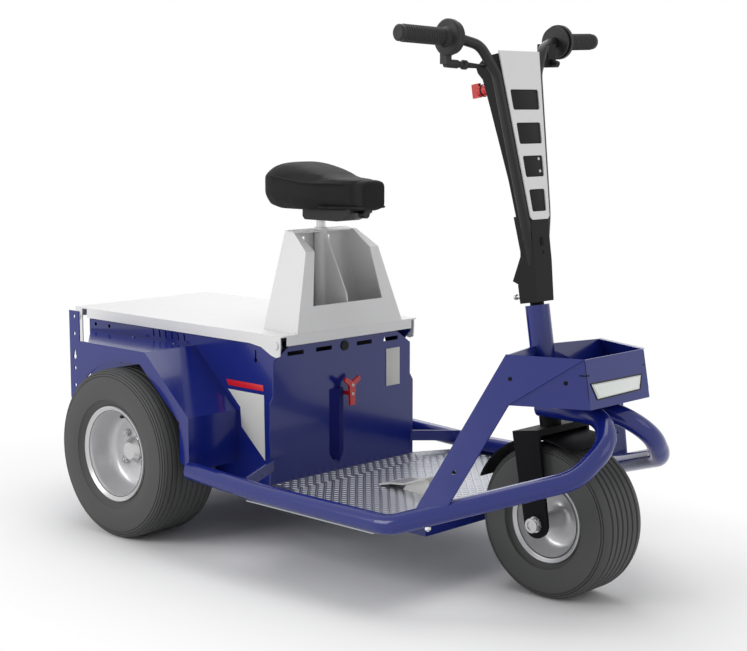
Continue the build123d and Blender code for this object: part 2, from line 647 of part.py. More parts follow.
# ------------------------------------------------------------------ basket, legs, lamp, head tube
def polygon_face(points):
    """Flat face through three or more points in space."""
    return Face(Wire.make_polygon([Vector(*point) for point in points], close=True))


def basket_solid(inset):
    """Closed form of the basket, its walls moved inwards and its floor up by about inset."""
    shrink = 1 - inset / 95
    middle = (RIM_APEX + BASKET_FRONT_LOW[0]) / 2

    def at(x, y, z):
        return (middle + (x - middle) * shrink, y * shrink, z + inset)

    rear = {side: at(RIM_REAR[0], side * RIM_REAR[1], RIM_Z) for side in (1, -1)}
    front = {side: at(RIM_FRONT[0], side * RIM_FRONT[1], RIM_Z) for side in (1, -1)}
    low = {side: at(BASKET_SIDE_LOW[0], side * BASKET_SIDE_LOW[1], BASKET_SIDE_LOW[2]) for side in (1, -1)}
    nose = {side: at(BASKET_FRONT_LOW[0], side * BASKET_FRONT_LOW[1], BASKET_FRONT_LOW[2]) for side in (1, -1)}
    apex = at(RIM_APEX, 0, RIM_Z)
    foot = at(RIM_APEX + 16, 0, BASKET_SIDE_LOW[2])
    faces = [
        polygon_face([apex, rear[1], front[1], front[-1], rear[-1]]),
        polygon_face([front[1], front[-1], nose[-1], nose[1]]),
        polygon_face([foot, low[1], nose[1]]),
        polygon_face([foot, nose[1], nose[-1]]),
        polygon_face([foot, nose[-1], low[-1]]),
    ]
    for side in (1, -1):
        faces.append(polygon_face([rear[side], front[side], low[side]]))
        faces.append(polygon_face([front[side], nose[side], low[side]]))
        faces.append(polygon_face([apex, rear[side], low[side]]))
        faces.append(polygon_face([apex, low[side], foot]))
    return Solid(Shell(faces))


def lamp_cutter():
    """Prism of the head lamp's outline through the basket's front."""
    return cross_plate(LAMP_OUTLINE, BASKET_FRONT_LOW[0] - 47, BASKET_FRONT_LOW[0] + 13)


def basket():
    """Folded basket, open above, with the lamp opening and the hole for the head tube."""
    shell = basket_solid(0) - basket_solid(SHEET)
    shell -= lamp_cutter()
    return shell - STEER * cylinder_along_axis(HEAD_RADIUS, HEAD_LOW, COLUMN_FOOT)


def headlamp():
    """Lamp block behind the opening in the basket's front, flush with it."""
    lean = Plane(origin=(RIM_FRONT[0], 0, RIM_Z), x_dir=(0, 1, 0),
                 z_dir=(RIM_Z - BASKET_FRONT_LOW[2], 0, BASKET_FRONT_LOW[0] - RIM_FRONT[0]))
    return lamp_cutter() - lean * Pos(0, 0, 50) * Box(400, 400, 100)


def leg():
    """Left leg: a flat plate from the basket's side down to the step tube."""
    corners = [(RIM_REAR[0], RIM_REAR[1], RIM_Z), (RIM_FRONT[0], RIM_FRONT[1], RIM_Z)]
    foot_rear, foot_front = (Vector(*foot) for foot in LEG_FEET)
    top_rear, top_front = (Vector(*corner) for corner in corners)
    normal = (top_front - top_rear).cross((foot_rear + foot_front) * 0.5 - top_rear).normalized()
    if normal.Y < 0:
        normal = normal * -1
    plane = Plane(origin=top_rear + normal * 0.2, x_dir=top_front - top_rear, z_dir=normal)
    fold = Vector(*BASKET_SIDE_LOW)
    drop = (foot_front - fold).normalized() * LEG_FOOT_OVERLAP
    rear_drop = (foot_rear - top_rear).normalized() * LEG_FOOT_OVERLAP
    shape = [top_rear, top_front, fold, foot_front + drop, foot_rear + rear_drop]
    flat = [plane.to_local_coords(point) for point in shape]
    sheet = extrude(plane * outline([(point.X, point.Y) for point in flat]), amount=LEG_SHEET)
    hole = plane.to_local_coords(Vector(*LEG_HOLE))
    sheet -= plane * Pos(hole.X, hole.Y, 0) * Cylinder(LEG_HOLE_RADIUS, 20)
    return sheet - step_tube_core()


def cylinder_along_axis(radius, low, high):
    """Cylinder on the steering axis in the steering frame."""
    return Pos(0, 0, (low + high) / 2) * Cylinder(radius, high - low)


def head_tube():
    """Tube that carries the stem in two bored bearing ends."""
    tube = cylinder_along_axis(HEAD_RADIUS, HEAD_LOW, HEAD_HIGH)
    tube -= cylinder_along_axis(STEM_RADIUS + RUNNING_FIT, HEAD_LOW, HEAD_HIGH)
    tube -= cylinder_along_axis(STEM_RADIUS + 4, HEAD_LOW + 30, HEAD_HIGH - 30)
    return STEER * tube


# ------------------------------------------------------------------ steering
def fork():
    """Crown with two side plates and the stem with its bearing shoulder, in the steering frame."""
    low = CROWN_TOP - CROWN_HEIGHT
    outside = FORK_INSIDE + PLATE
    reach = CROWN_HALF_LENGTH
    plate = side_plate([(-reach, low + 1), (reach, low + 1), (DROPOUT_RADIUS, 0), (-DROPOUT_RADIUS, 0)],
                       FORK_INSIDE, outside)
    plate += rod((0, FORK_INSIDE, 0), (0, outside, 0), DROPOUT_RADIUS)
    plate -= rod((0, FORK_INSIDE - 1, 0), (0, outside + 1, 0), FRONT_AXLE_RADIUS)
    crown = block((-reach, reach), (-outside, outside), (low, CROWN_TOP))
    stem = cylinder_along_axis(STEM_RADIUS, CROWN_TOP - 1, COLUMN_FOOT)
    shoulder = cylinder_along_axis(HEAD_RADIUS - 3, CROWN_TOP - 1, HEAD_LOW - 0.5)
    return STEER * (crown + plate + mirrored(plate) + stem + shoulder)


def mudguard():
    """Curved guard over the front tyre, hung from the crown."""
    half = FRONT_TYRE_WIDTH / 2 + MUDGUARD_SIDE_GAP
    outside = MUDGUARD_RADIUS + SHEET
    ring = rod((0, -half, 0), (0, half, 0), outside) - rod((0, -half, 0), (0, half, 0), MUDGUARD_RADIUS)
    front, rear = ((400 * cos(radians(angle)), 400 * sin(radians(angle))) for angle in MUDGUARD_ANGLES)
    sector = side_plate([(0, 0), front, (front[0], 400), (rear[0], 400), rear], -half, half)
    hanger = block((-16, 16), (-30, 30), (outside - 1, CROWN_TOP - CROWN_HEIGHT))
    return STEER * ((ring & sector) + hanger)


def along_face(w, values):
    """Value between the two given at the face's foot and at the column's top."""
    share = (w - FACE_FOOT) / (COLUMN_TOP - FACE_FOOT)
    return values[0] + share * (values[1] - values[0])


def face_half(w):
    """Half-width of the white face panel at a height along the axis."""
    return along_face(w, FACE_HALVES)


def face_front(w):
    """How far the face panel's front lies ahead of the axis."""
    return along_face(w, FACE_FRONTS)


def column_housing():
    """Tall tapered housing behind the face panel on a slim foot with a rear hook."""
    low, high = COLUMN_LOWER_HALVES
    foot = side_plate(COLUMN_LOWER, -60, 60)
    foot &= cross_plate(both_sides_yz([(low, COLUMN_FOOT), (high, 650)]), -80, 80)
    foot -= side_plate([(face_front(FACE_FOOT) - SHEET, FACE_FOOT), (60, FACE_FOOT), (60, 660),
                        (face_front(660) - SHEET, 660)], -60, 60)
    edge = [(face_half(w) - COLUMN_SIDE_INSET, w) for w in (FACE_FOOT, COLUMN_TOP)]
    upper = side_plate(COLUMN_UPPER, -90, 90) & cross_plate(both_sides_yz(edge), -80, 80)
    ridge = [(face_front(w) - SHEET, w) for w in (FACE_FOOT + 2, COLUMN_TOP - 4)]
    backing = side_plate(ridge + [(10, COLUMN_TOP - 4), (10, FACE_FOOT + 2)], -90, 90)
    backing &= cross_plate(both_sides_yz(edge), -80, 80)
    hook = side_plate(COLUMN_HOOK, -4, 4)
    return STEER * (foot + upper + backing + hook)


def face_panel():
    """White front sheet of the column with four window openings and chamfered lower corners."""
    chamfer = 6.0
    edge = [(face_half(FACE_FOOT) - chamfer, FACE_FOOT), (face_half(FACE_FOOT + chamfer), FACE_FOOT + chamfer),
            (face_half(COLUMN_TOP), COLUMN_TOP)]
    plane = Plane(origin=(0, 0, 0), x_dir=(0, 1, 0), z_dir=(1, 0, 0))
    panel = extrude(plane * outline(both_sides_yz(edge)), amount=70)
    slab = side_plate([(face_front(w), w) for w in (FACE_FOOT, COLUMN_TOP)]
                      + [(face_front(w) - SHEET, w) for w in (COLUMN_TOP, FACE_FOOT)], -90, 90)
    for low, high, half in FACE_WINDOWS:
        window = outline([(-half + 3, low), (half - 3, low), (half, high), (-half, high)])
        panel -= extrude(plane * fillet(window.vertices(), 5), amount=70)
    return STEER * (panel & slab)


def handlebar():
    """Two bent tubes, one each side of the face panel, from the column's foot to the grips."""
    bar = swept(list(reversed(BAR_ROUTE)), list(reversed(BAR_BENDS)), Circle(BAR_RADIUS))
    return STEER * pair(bar) - column_housing()


def grip():
    """Left grip with its two-ringed hand guard, in the steering frame."""
    end, inner = Vector(*BAR_ROUTE[0]), Vector(*BAR_ROUTE[1])
    frame = Plane(origin=end, z_dir=inner - end)
    profile = [(0, -5), (GRIP_RADIUS - 3, -5), (GRIP_RADIUS, -2), (GRIP_RADIUS, 118), (22, 126), (34, 128),
               (DISC_RADIUS, 131), (DISC_RADIUS, 140), (31, 140), (31, 144), (34, 144), (34, 150),
               (BAR_RADIUS + 0.2, 150), (BAR_RADIUS + 0.2, 0), (0, 0)]
    shape = revolve(Plane.XZ * outline(profile), axis=Axis.Z)
    return STEER * (frame * shape)


def brake_guide():
    """Cable adjuster and tapered boot below the right grip's guard."""
    start, end = Vector(861, -180, 1120), Vector(884, -82, 1114)
    frame = Plane(origin=start, z_dir=end - start)
    profile = [(0, 0), (9, 0), (9, 30), (7, 34), (7, 42), (10, 44), (10, 52), (6, 58), (4, 100), (0, 100)]
    boot = frame * revolve(Plane.XZ * outline(profile), axis=Axis.Z)
    lug = block((852, 870), (-186, -170), (1118, 1140)) - mirrored(grip())
    return boot + lug


def control_pod():
    """Switch pod and short lever under the left grip's guard."""
    pod = block((868, 898), (114, 142), (1116, 1166))
    lever = rod((890, 128, 1130), (914, 128, 1122), 7)
    return pod + lever - handlebar()


def key_switch():
    """Key switch in the column's rear near its right edge, with the key and its tag."""
    body = rod((-56, -40, 919), (-20, -40, 919), 12)
    tag = block((-74, -54), (-46, -38), (906, 936))
    return STEER * (body + tag) - column_housing()


# ------------------------------------------------------------------ drive and hitch
def transaxle():
    """Drive axle: round differential case, motor and axle tubes with their stubs."""
    end = REAR_WHEEL_Y - REAR_HUB_INSIDE - WHEEL_GAP
    axle = rod((0, -end, REAR_AXLE_Z), (0, end, REAR_AXLE_Z), AXLE_TUBE_RADIUS)
    stub = REAR_WHEEL_Y + 8
    axle += rod((0, -stub, REAR_AXLE_Z), (0, stub, REAR_AXLE_Z), REAR_STUB_RADIUS)
    axle += rod((0, 30, REAR_AXLE_Z), (0, 95, REAR_AXLE_Z), 72)
    axle += rod((30, 62, REAR_AXLE_Z + 4), (250, 62, REAR_AXLE_Z + 4), 58)
    for y in (-150, 150):
        axle += block((-30, 30), (y - 5, y + 5), (REAR_AXLE_Z, TRAY_TOP - SHEET))
    return axle


def tow_hitch():
    """Back plate with two jaws bored for a drawbar's drop pin."""
    half_width, half_height = HITCH_PLATE_HALF
    face = BOX_REAR - HITCH_PLATE
    plate = block((face, BOX_REAR), (-half_width, half_width), (HITCH_Z - half_height, HITCH_Z + half_height))
    for side in (-1, 1):
        middle = HITCH_Z + side * (HITCH_GAP + HITCH_JAW) / 2
        plate += flat_plate([(face, -48), (face, 48), (HITCH_REAR, 26), (HITCH_REAR, -26)],
                            middle - HITCH_JAW / 2, middle + HITCH_JAW / 2)
    return plate - rod((HITCH_BORE_X, 0, HITCH_Z - 60), (HITCH_BORE_X, 0, HITCH_Z + 60), HITCH_BORE_RADIUS)


# ------------------------------------------------------------------ all pieces by name
def pieces():
    """Every piece in its place, by node name."""
    rear_tyre = tyre(REAR_TYRE_RADIUS, REAR_TYRE_WIDTH, REAR_BEAD_RADIUS, REAR_FLANGE_RADIUS, REAR_RIM_WIDTH)
    front_tyre = tyre(FRONT_TYRE_RADIUS, FRONT_TYRE_WIDTH, FRONT_BEAD_RADIUS, FRONT_FLANGE_RADIUS,
                      FRONT_RIM_WIDTH)
    handed = {"step_tube": step_tube(), "fender": fender()}
    rear_place = Pos(0, REAR_WHEEL_Y, REAR_AXLE_Z)
    handed["rear_tyre"] = rear_place * rear_tyre
    handed["rear_rim"] = rear_place * rear_rim()
    handed["rear_hub"] = rear_place * rear_hub()
    front_place = Pos(WHEELBASE, 0, FRONT_AXLE_Z)
    shapes = {
        "battery_box": battery_box(), "front_panel": front_panel(), "lid_seal": lid_seal(),
        "panel_plug": panel_plug(), "pull_handle": pull_handle(), "battery_block": battery_block(),
        "lid_cover": lid_cover(), "hinge_pins": hinge_pins(), "seat_tower": seat_tower(),
        "seat_post": seat_post(), "seat_bracket": seat_bracket(), "seat_cushion": seat_cushion(),
        "seat_pan": seat_pan(), "floor_frame": floor_frame(), "tread_plate": tread_plate(),
        "pedal": pedal(), "basket": basket(), "headlamp": headlamp(), "head_tube": head_tube(),
        "fork": fork(), "mudguard": mudguard(), "column_housing": column_housing(),
        "face_panel": face_panel(), "handlebar": handlebar(), "brake_guide": brake_guide(),
        "control_pod": control_pod(), "key_switch": key_switch(), "legs": pair(leg()),
        "grips": pair(grip()), "transaxle": transaxle(), "tow_hitch": tow_hitch(),
        "front_tyre": front_place * front_tyre,
        "front_rim": front_place * front_rim(), "front_axle": front_place * front_axle(),
    }
    for name, shape in handed.items():
        shapes[name + "_left"] = shape
        shapes[name + "_right"] = mirrored(shape)
    return shapes


def main():
    """Write one STEP file per piece."""
    os.makedirs("parts", exist_ok=True)
    for name, shape in pieces().items():
        export_step(Pos(-ORIGIN_X, 0, 0) * shape, f"parts/{name}.step")


main()
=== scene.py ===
"""Looks for the three-wheeled baggage tug: finishes, soft saddle, ribbed tyres, trim and the studio."""
import logging
from dataclasses import dataclass
from enum import Enum
from math import cos, pi, radians, sin
from typing import Callable, Iterable, Sequence

import bmesh
import bpy
from mathutils import Matrix, Vector


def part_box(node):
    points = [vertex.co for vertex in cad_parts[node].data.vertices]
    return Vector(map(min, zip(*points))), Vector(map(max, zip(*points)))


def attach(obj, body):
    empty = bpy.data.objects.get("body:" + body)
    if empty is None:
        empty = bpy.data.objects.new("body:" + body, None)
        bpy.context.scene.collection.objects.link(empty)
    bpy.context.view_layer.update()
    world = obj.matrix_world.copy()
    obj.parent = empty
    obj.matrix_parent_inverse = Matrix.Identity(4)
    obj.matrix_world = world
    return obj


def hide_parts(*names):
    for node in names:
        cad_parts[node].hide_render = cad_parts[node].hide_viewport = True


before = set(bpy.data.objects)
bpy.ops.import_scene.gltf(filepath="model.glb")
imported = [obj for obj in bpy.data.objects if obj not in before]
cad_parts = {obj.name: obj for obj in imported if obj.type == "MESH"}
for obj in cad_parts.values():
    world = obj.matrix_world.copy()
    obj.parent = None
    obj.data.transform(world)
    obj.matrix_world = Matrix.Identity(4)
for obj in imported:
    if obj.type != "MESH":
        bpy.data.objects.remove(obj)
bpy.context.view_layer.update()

log = logging.getLogger("tug")
Point = tuple[float, float, float]
Pair = tuple[float, float]
Filler = Callable[[bmesh.types.BMesh], None]
Ring = Sequence[bmesh.types.BMVert]

AXLE_X = sum(corner.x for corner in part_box("rear_tyre_left")) / 2
RAKE = radians(9.2)
STEERING_PIVOT_MM = (1040.0, 0.0, 165.5)
HANDS = ((1, "left"), (-1, "right"))
AHEAD = Vector((1, 0, 0))
UP = Vector((0, 0, 1))


def at(x: float, y: float, z: float) -> Vector:
    """Turn mm ahead of the rear axle, left of the centre plane and above the ground into metres."""
    return Vector((AXLE_X + x / 1000, y / 1000, z / 1000))


def steered(u: float, y: float, w: float) -> Vector:
    """Turn mm ahead of the steering axis, left of it and up it from the front axle into metres."""
    x, _, z = STEERING_PIVOT_MM
    return at(x + u * cos(RAKE) - w * sin(RAKE), y, z + u * sin(RAKE) + w * cos(RAKE))


def beside(side: int, place: Point) -> Vector:
    """Give a place stated for the left, in mm, on the given side, in metres."""
    x, y, z = place
    return at(x, side * y, z)


def mirrored(side: int, way: Point) -> Vector:
    """Give a direction stated for the left on the given side."""
    x, y, z = way
    return Vector((x, side * y, z))


# One millimetre ahead, square to the steering axis.
STEERED_AHEAD = steered(1, 0, 0) - steered(0, 0, 0)


# ---------------------------------------------------------------- shader nodes
class Socket:
    """Output socket whose arithmetic adds Math nodes to its graph."""

    def __init__(self, graph: "Graph", output: "bpy.types.NodeSocket | None") -> None:
        """Wrap an output of a graph's node."""
        self.graph = graph
        self.output = output

    def math(self, operation: str, *others: "Socket | float", clamp: bool = False) -> "Socket":
        """Add a Math node on this value and the others, held between 0 and 1 if clamp is set."""
        inputs = dict(enumerate((self, *others)))
        return self.graph.node("ShaderNodeMath", {"operation": operation, "use_clamp": clamp}, inputs)

    def __add__(self, other: "Socket | float") -> "Socket":
        """Add."""
        return self.math("ADD", other)

    __radd__ = __add__

    def __sub__(self, other: "Socket | float") -> "Socket":
        """Take away."""
        return self.math("SUBTRACT", other)

    def __rsub__(self, other: float) -> "Socket":
        """Take this from a number."""
        return (self * -1.0) + other

    def __mul__(self, other: "Socket | float") -> "Socket":
        """Multiply."""
        return self.math("MULTIPLY", other)

    __rmul__ = __mul__

    def __truediv__(self, other: "Socket | float") -> "Socket":
        """Divide."""
        return self.math("DIVIDE", other)

    def __pow__(self, other: "Socket | float") -> "Socket":
        """Raise to a power."""
        return self.math("POWER", other)

    def held(self) -> "Socket":
        """Hold the value between 0 and 1."""
        return self.math("ADD", 0.0, clamp=True)


class Graph:
    """Node tree of one material or world, cleared and ready to build."""

    def __init__(self, owner: "bpy.types.Material | bpy.types.World") -> None:
        """Clear the owner's node tree."""
        self.owner = owner
        owner.use_nodes = True
        self.tree = owner.node_tree
        self.tree.nodes.clear()

    def node(self, kind: str, settings: dict, inputs: dict, output: "int | str" = 0) -> Socket:
        """Add a node with its settings and inputs.

        Args:
            kind: Blender's node type.
            settings: Attribute values of the node.
            inputs: Values or sockets by input name or index.
            output: Which output is wanted.

        Returns:
            That output.
        """
        made = self.tree.nodes.new(kind)
        for key, value in settings.items():
            setattr(made, key, value)
        for key, value in inputs.items():
            if isinstance(value, Socket):
                self.tree.links.new(value.output, made.inputs[key])
            else:
                made.inputs[key].default_value = value
        return Socket(self, made.outputs[output] if made.outputs else None)

    def place(self) -> Socket:
        """Give the object coordinates."""
        return self.node("ShaderNodeTexCoord", {}, {}, "Object")

    def axis(self, name: str) -> Socket:
        """Give one object coordinate, X, Y or Z, in metres."""
        return self.node("ShaderNodeSeparateXYZ", {}, {"Vector": self.place()}, name)

    def noise(self, scale: float, detail: float = 3.0, stretch: Point = (1.0, 1.0, 1.0)) -> Socket:
        """Add noise with so many cells per metre and octaves, stretched along the object's axes."""
        place = self.node("ShaderNodeMapping", {}, {"Vector": self.place(), "Scale": stretch})
        return self.node("ShaderNodeTexNoise", {}, {"Vector": place, "Scale": scale, "Detail": detail}, "Fac")

    def cells(self, scale: float, feature: str = "F1") -> Socket:
        """Add Voronoi cells, so many per metre, and give the distance that the feature measures."""
        inputs = {"Vector": self.place(), "Scale": scale}
        return self.node("ShaderNodeTexVoronoi", {"feature": feature}, inputs, "Distance")

    def blend(self, share: Socket, low: Sequence[float], high: Sequence[float]) -> Socket:
        """Blend from the low colour, at a share of 0, to the high one, at 1."""
        inputs = {0: share, 6: (*low, 1.0), 7: (*high, 1.0)}
        return self.node("ShaderNodeMix", {"data_type": "RGBA"}, inputs, 2)

    def surface(self, inputs: dict, height: Socket, depth: float, strength: float) -> bpy.types.Material:
        """Close the graph with a Principled surface.

        Args:
            inputs: The shader's values and links by name.
            height: Bump height.
            depth: Bump distance in metres.
            strength: Bump strength.

        Returns:
            The material.
        """
        bump = {"Height": height, "Distance": depth, "Strength": strength}
        normal = self.node("ShaderNodeBump", {}, bump, "Normal")
        shader = self.node("ShaderNodeBsdfPrincipled", {}, {**inputs, "Normal": normal}, "BSDF")
        self.node("ShaderNodeOutputMaterial", {}, {"Surface": shader})
        return self.owner


class Texture(Enum):
    """How a surface was made, which decides its grain."""
    PAINTED = "painted"
    MOULDED = "moulded"
    RUBBER = "rubber"
    BRUSHED = "brushed"
    LEATHER = "leather"
    LENS = "lens"
    PRINTED = "printed"


@dataclass(frozen=True)
class Finish:
    """One finish of the tug.

    Attributes:
        name: Name of the material.
        slot: The record's slot for the finish; not used.
        texture: How it was made.
        colour: Its colour, linear.
        second: The colour that it varies towards.
        roughness: Lowest and highest roughness.
        metallic: Share of metal.
        coat: Weight of a clear coat.
        specular: Level of its plain reflection.
    """
    name: str
    slot: str
    texture: Texture
    colour: Point
    second: Point
    roughness: Pair
    metallic: float = 0.0
    coat: float = 0.0
    specular: float = 0.5


class Palette:
    """Builds each finish once and hands out its material."""

    FINISHES = (
        Finish("blue_gloss_paint", "blue_paint", Texture.PAINTED,
               (0.006, 0.014, 0.165), (0.009, 0.018, 0.185), (0.14, 0.24), coat=0.25, specular=0.42),
        # Darker, dull copy of the blue paint with little reflection: painted shade on the guide below the
        # pull handle.
        Finish("shaded_blue_paint", "blue_paint", Texture.PAINTED,
               (0.006, 0.009, 0.110), (0.008, 0.011, 0.125), (0.60, 0.70), specular=0.1),
        Finish("white_satin_paint", "white_paint", Texture.PAINTED,
               (0.76, 0.76, 0.76), (0.71, 0.71, 0.71), (0.34, 0.46)),
        Finish("silver_rim_paint", "grey_paint", Texture.PAINTED,
               (0.60, 0.60, 0.61), (0.52, 0.52, 0.53), (0.24, 0.36), metallic=0.35, coat=0.3),
        Finish("black_satin_paint", "black_paint", Texture.PAINTED,
               (0.006, 0.006, 0.006), (0.010, 0.010, 0.010), (0.30, 0.42), specular=0.35),
        Finish("black_matt_paint", "black_paint", Texture.PAINTED,
               (0.003, 0.003, 0.004), (0.005, 0.005, 0.006), (0.50, 0.62), specular=0.12),
        Finish("polished_pedal", "steel", Texture.BRUSHED,
               (0.78, 0.76, 0.71), (0.66, 0.65, 0.62), (0.16, 0.28), metallic=0.55),
        Finish("black_moulding", "black_plastic", Texture.MOULDED,
               (0.007, 0.007, 0.007), (0.011, 0.011, 0.011), (0.40, 0.54), specular=0.16),
        Finish("tyre_rubber", "tyre", Texture.RUBBER,
               (0.058, 0.059, 0.058), (0.076, 0.077, 0.075), (0.50, 0.66), specular=0.3),
        Finish("soft_rubber", "rubber", Texture.RUBBER,
               (0.010, 0.010, 0.010), (0.016, 0.016, 0.016), (0.42, 0.58), specular=0.35),
        Finish("bright_steel", "steel", Texture.BRUSHED,
               (0.62, 0.62, 0.62), (0.50, 0.50, 0.51), (0.18, 0.34), metallic=1.0),
        Finish("chequer_aluminium", "chequer_aluminium", Texture.BRUSHED,
               (0.46, 0.47, 0.50), (0.30, 0.31, 0.35), (0.26, 0.44), metallic=1.0),
        Finish("saddle_vinyl", "seat_vinyl", Texture.LEATHER,
               (0.022, 0.022, 0.022), (0.029, 0.029, 0.029), (0.50, 0.62), specular=0.03),
        Finish("red_moulding", "red_plastic", Texture.MOULDED,
               (0.55, 0.008, 0.008), (0.46, 0.006, 0.006), (0.20, 0.32), coat=0.2),
        Finish("lamp_lens", "lamp_lens", Texture.LENS,
               (0.72, 0.75, 0.72), (0.60, 0.64, 0.62), (0.08, 0.16), coat=0.8),
        Finish("printed_patch", "white_paint", Texture.PRINTED,
               (0.60, 0.60, 0.57), (0.55, 0.55, 0.53), (0.30, 0.40)),
        Finish("red_stripe", "red_plastic", Texture.PRINTED,
               (0.66, 0.010, 0.016), (0.58, 0.008, 0.014), (0.28, 0.38)),
        # Near-black: painted shade inside the basket's holes and slot, along its corner seam, in the column's
        # sockets and on the leg plugs.
        Finish("dark_opening", "black_plastic", Texture.MOULDED,
               (0.004, 0.004, 0.008), (0.006, 0.006, 0.010), (0.50, 0.64), specular=0.1),
        Finish("battery_case", "battery_case", Texture.MOULDED,
               (0.040, 0.040, 0.046), (0.052, 0.052, 0.058), (0.40, 0.54)),
    )
    COAT_ROUGHNESS = 0.06
    LENS_GLOW = {"Emission Color": (0.85, 0.9, 0.88, 1.0), "Emission Strength": 0.10}

    def __init__(self) -> None:
        """List the finishes by name, with none made yet."""
        self.finishes = {finish.name: finish for finish in self.FINISHES}
        self.made: dict[str, bpy.types.Material] = {}

    def __call__(self, name: str) -> bpy.types.Material:
        """Give the material of a finish.

        Args:
            name: The finish's name.

        Returns:
            Its material, made on first use.
        """
        if name not in self.made:
            self.made[name] = self.build(self.finishes[name])
        return self.made[name]

    def build(self, finish: Finish) -> bpy.types.Material:
        """Make a finish's material, whose colour follows broad clouds more than its grain.

        Args:
            finish: What to make.

        Returns:
            The material.
        """
        graph = Graph(bpy.data.materials.new(finish.name))
        clouds = graph.noise(4.5, 2.0)
        grain, height, depth, strength = self.grain(graph, finish.texture)
        low, high = finish.roughness
        inputs = {
            "Base Color": graph.blend((clouds * 0.6 + grain * 0.4).held(), finish.colour, finish.second),
            "Roughness": (grain * (high - low) + low).held(),
            "Metallic": finish.metallic,
            "Coat Weight": finish.coat,
            "Coat Roughness": self.COAT_ROUGHNESS,
            "Specular IOR Level": finish.specular,
        }
        if finish.texture is Texture.LENS:
            inputs |= self.LENS_GLOW
        return graph.surface(inputs, height, depth, strength)

    @staticmethod
    def grain(graph: Graph, texture: Texture) -> tuple[Socket, Socket, float, float]:
        """Give the grain and bump of a way of making.

        Args:
            graph: The material's graph.
            texture: The way of making.

        Returns:
            Grain for colour and roughness, bump height, bump distance and bump strength.
        """
        if texture is Texture.PAINTED:
            return graph.noise(26.0, 4.0), graph.noise(170.0, 2.0), 0.0004, 0.05
        if texture is Texture.MOULDED:
            return graph.noise(60.0, 4.0), graph.cells(620.0) * 0.7 + graph.noise(300.0), 0.0003, 0.22
        if texture is Texture.RUBBER:
            return graph.noise(34.0, 5.0), graph.noise(420.0) + graph.noise(90.0) * 0.5, 0.0005, 0.22
        if texture is Texture.BRUSHED:
            lines = graph.noise(38.0, 4.0, (1.0, 14.0, 14.0))
            return lines, lines, 0.0002, 0.12
        if texture is Texture.LEATHER:
            ridge = (graph.cells(430.0, "DISTANCE_TO_EDGE") * 6.0).held()
            return graph.noise(48.0, 4.0), ridge * 0.8 + graph.noise(240.0) * 0.4, 0.0004, 0.34
        if texture is Texture.LENS:
            return graph.noise(20.0), (graph.axis("Y") * 900.0).math("SINE"), 0.0006, 0.35
        return graph.noise(40.0), graph.noise(260.0), 0.0001, 0.05


# ---------------------------------------------------------------- meshes
def finished_mesh(name: str, build: Filler, sharp: float = 32.0) -> bpy.types.Mesh:
    """Build a mesh with outward normals and smooth shading broken at sharp edges.

    Args:
        name: Mesh name.
        build: Fills an empty bmesh.
        sharp: Angle above which an edge stays sharp, in degrees.

    Returns:
        The mesh.
    """
    work = bmesh.new()
    build(work)
    bmesh.ops.remove_doubles(work, verts=work.verts, dist=1e-6)
    bmesh.ops.recalc_face_normals(work, faces=work.faces)
    mesh = bpy.data.meshes.new(name)
    work.to_mesh(mesh)
    work.free()
    mesh.shade_smooth()
    mesh.set_sharp_from_angle(angle=radians(sharp))
    return mesh


def applied(holder: bpy.types.Object) -> bpy.types.Mesh:
    """Give an object's mesh with its modifiers applied."""
    return bpy.data.meshes.new_from_object(holder.evaluated_get(bpy.context.evaluated_depsgraph_get()))


def bridge(work: bmesh.types.BMesh, here: Ring, there: Ring) -> None:
    """Join two rings of as many vertices by a band of faces.

    Args:
        work: The bmesh to fill.
        here: The first ring.
        there: The second ring.
    """
    for step in range(len(here)):
        after = (step + 1) % len(here)
        work.faces.new([here[step], here[after], there[after], there[step]])


def loft(work: bmesh.types.BMesh, rings: Sequence[Ring]) -> None:
    """Join rings one after another and close both ends.

    Args:
        work: The bmesh to fill.
        rings: The rings, with as many vertices each.
    """
    for here, there in zip(rings, rings[1:]):
        bridge(work, here, there)
    work.faces.new(rings[0])
    work.faces.new(list(reversed(rings[-1])))


def soften(work: bmesh.types.BMesh, width: float) -> None:
    """Round every edge by a width in metres."""
    bmesh.ops.bevel(work, geom=work.edges[:], offset=width, segments=2, profile=0.5, affect="EDGES")


def lathe(profile: Sequence[Pair], centre: Vector, axis: Vector, steps: int, closed: bool = True) -> Filler:
    """Revolve a profile about an axis.

    Args:
        profile: Points as (radius, distance along the axis), in millimetres.
        centre: Where distance 0 lies, in metres.
        axis: Direction of the axis.
        steps: Segments round the axis.
        closed: Whether the profile's last point joins its first.

    Returns:
        A builder for finished_mesh.
    """
    turn = axis.normalized().to_track_quat("Z", "X")
    on_axis = [radius < 1e-6 for radius, _ in profile]

    def build(work: bmesh.types.BMesh) -> None:
        """Fill the bmesh."""
        rings = [[work.verts.new(centre + turn @ Vector((r * cos(angle), r * sin(angle), h)) / 1000)
                  for r, h in profile] for angle in (2 * pi * step / steps for step in range(steps))]
        for here, there in zip(rings, rings[1:] + rings[:1]):
            for index in range(len(profile) if closed else len(profile) - 1):
                after = (index + 1) % len(profile)
                if on_axis[index] and on_axis[after]:
                    continue
                corners = [here[index], here[after]]
                if not on_axis[after]:
                    corners.append(there[after])
                if not on_axis[index]:
                    corners.append(there[index])
                work.faces.new(corners)

    return build


def prism(outline: Sequence[Vector], depth: Vector, bevel: float = 0.0006) -> Filler:
    """Extrude a flat outline and round its edges.

    Args:
        outline: Corners in metres.
        depth: Extrusion vector in metres.
        bevel: Width of the rounded edges in metres.

    Returns:
        A builder for finished_mesh.
    """

    def build(work: bmesh.types.BMesh) -> None:
        """Fill the bmesh."""
        near = [work.verts.new(point) for point in outline]
        far = [work.verts.new(point + depth) for point in outline]
        work.faces.new(near)
        work.faces.new(list(reversed(far)))
        for index in range(len(near)):
            after = (index + 1) % len(near)
            work.faces.new([near[index], far[index], far[after], near[after]])
        soften(work, bevel)

    return build


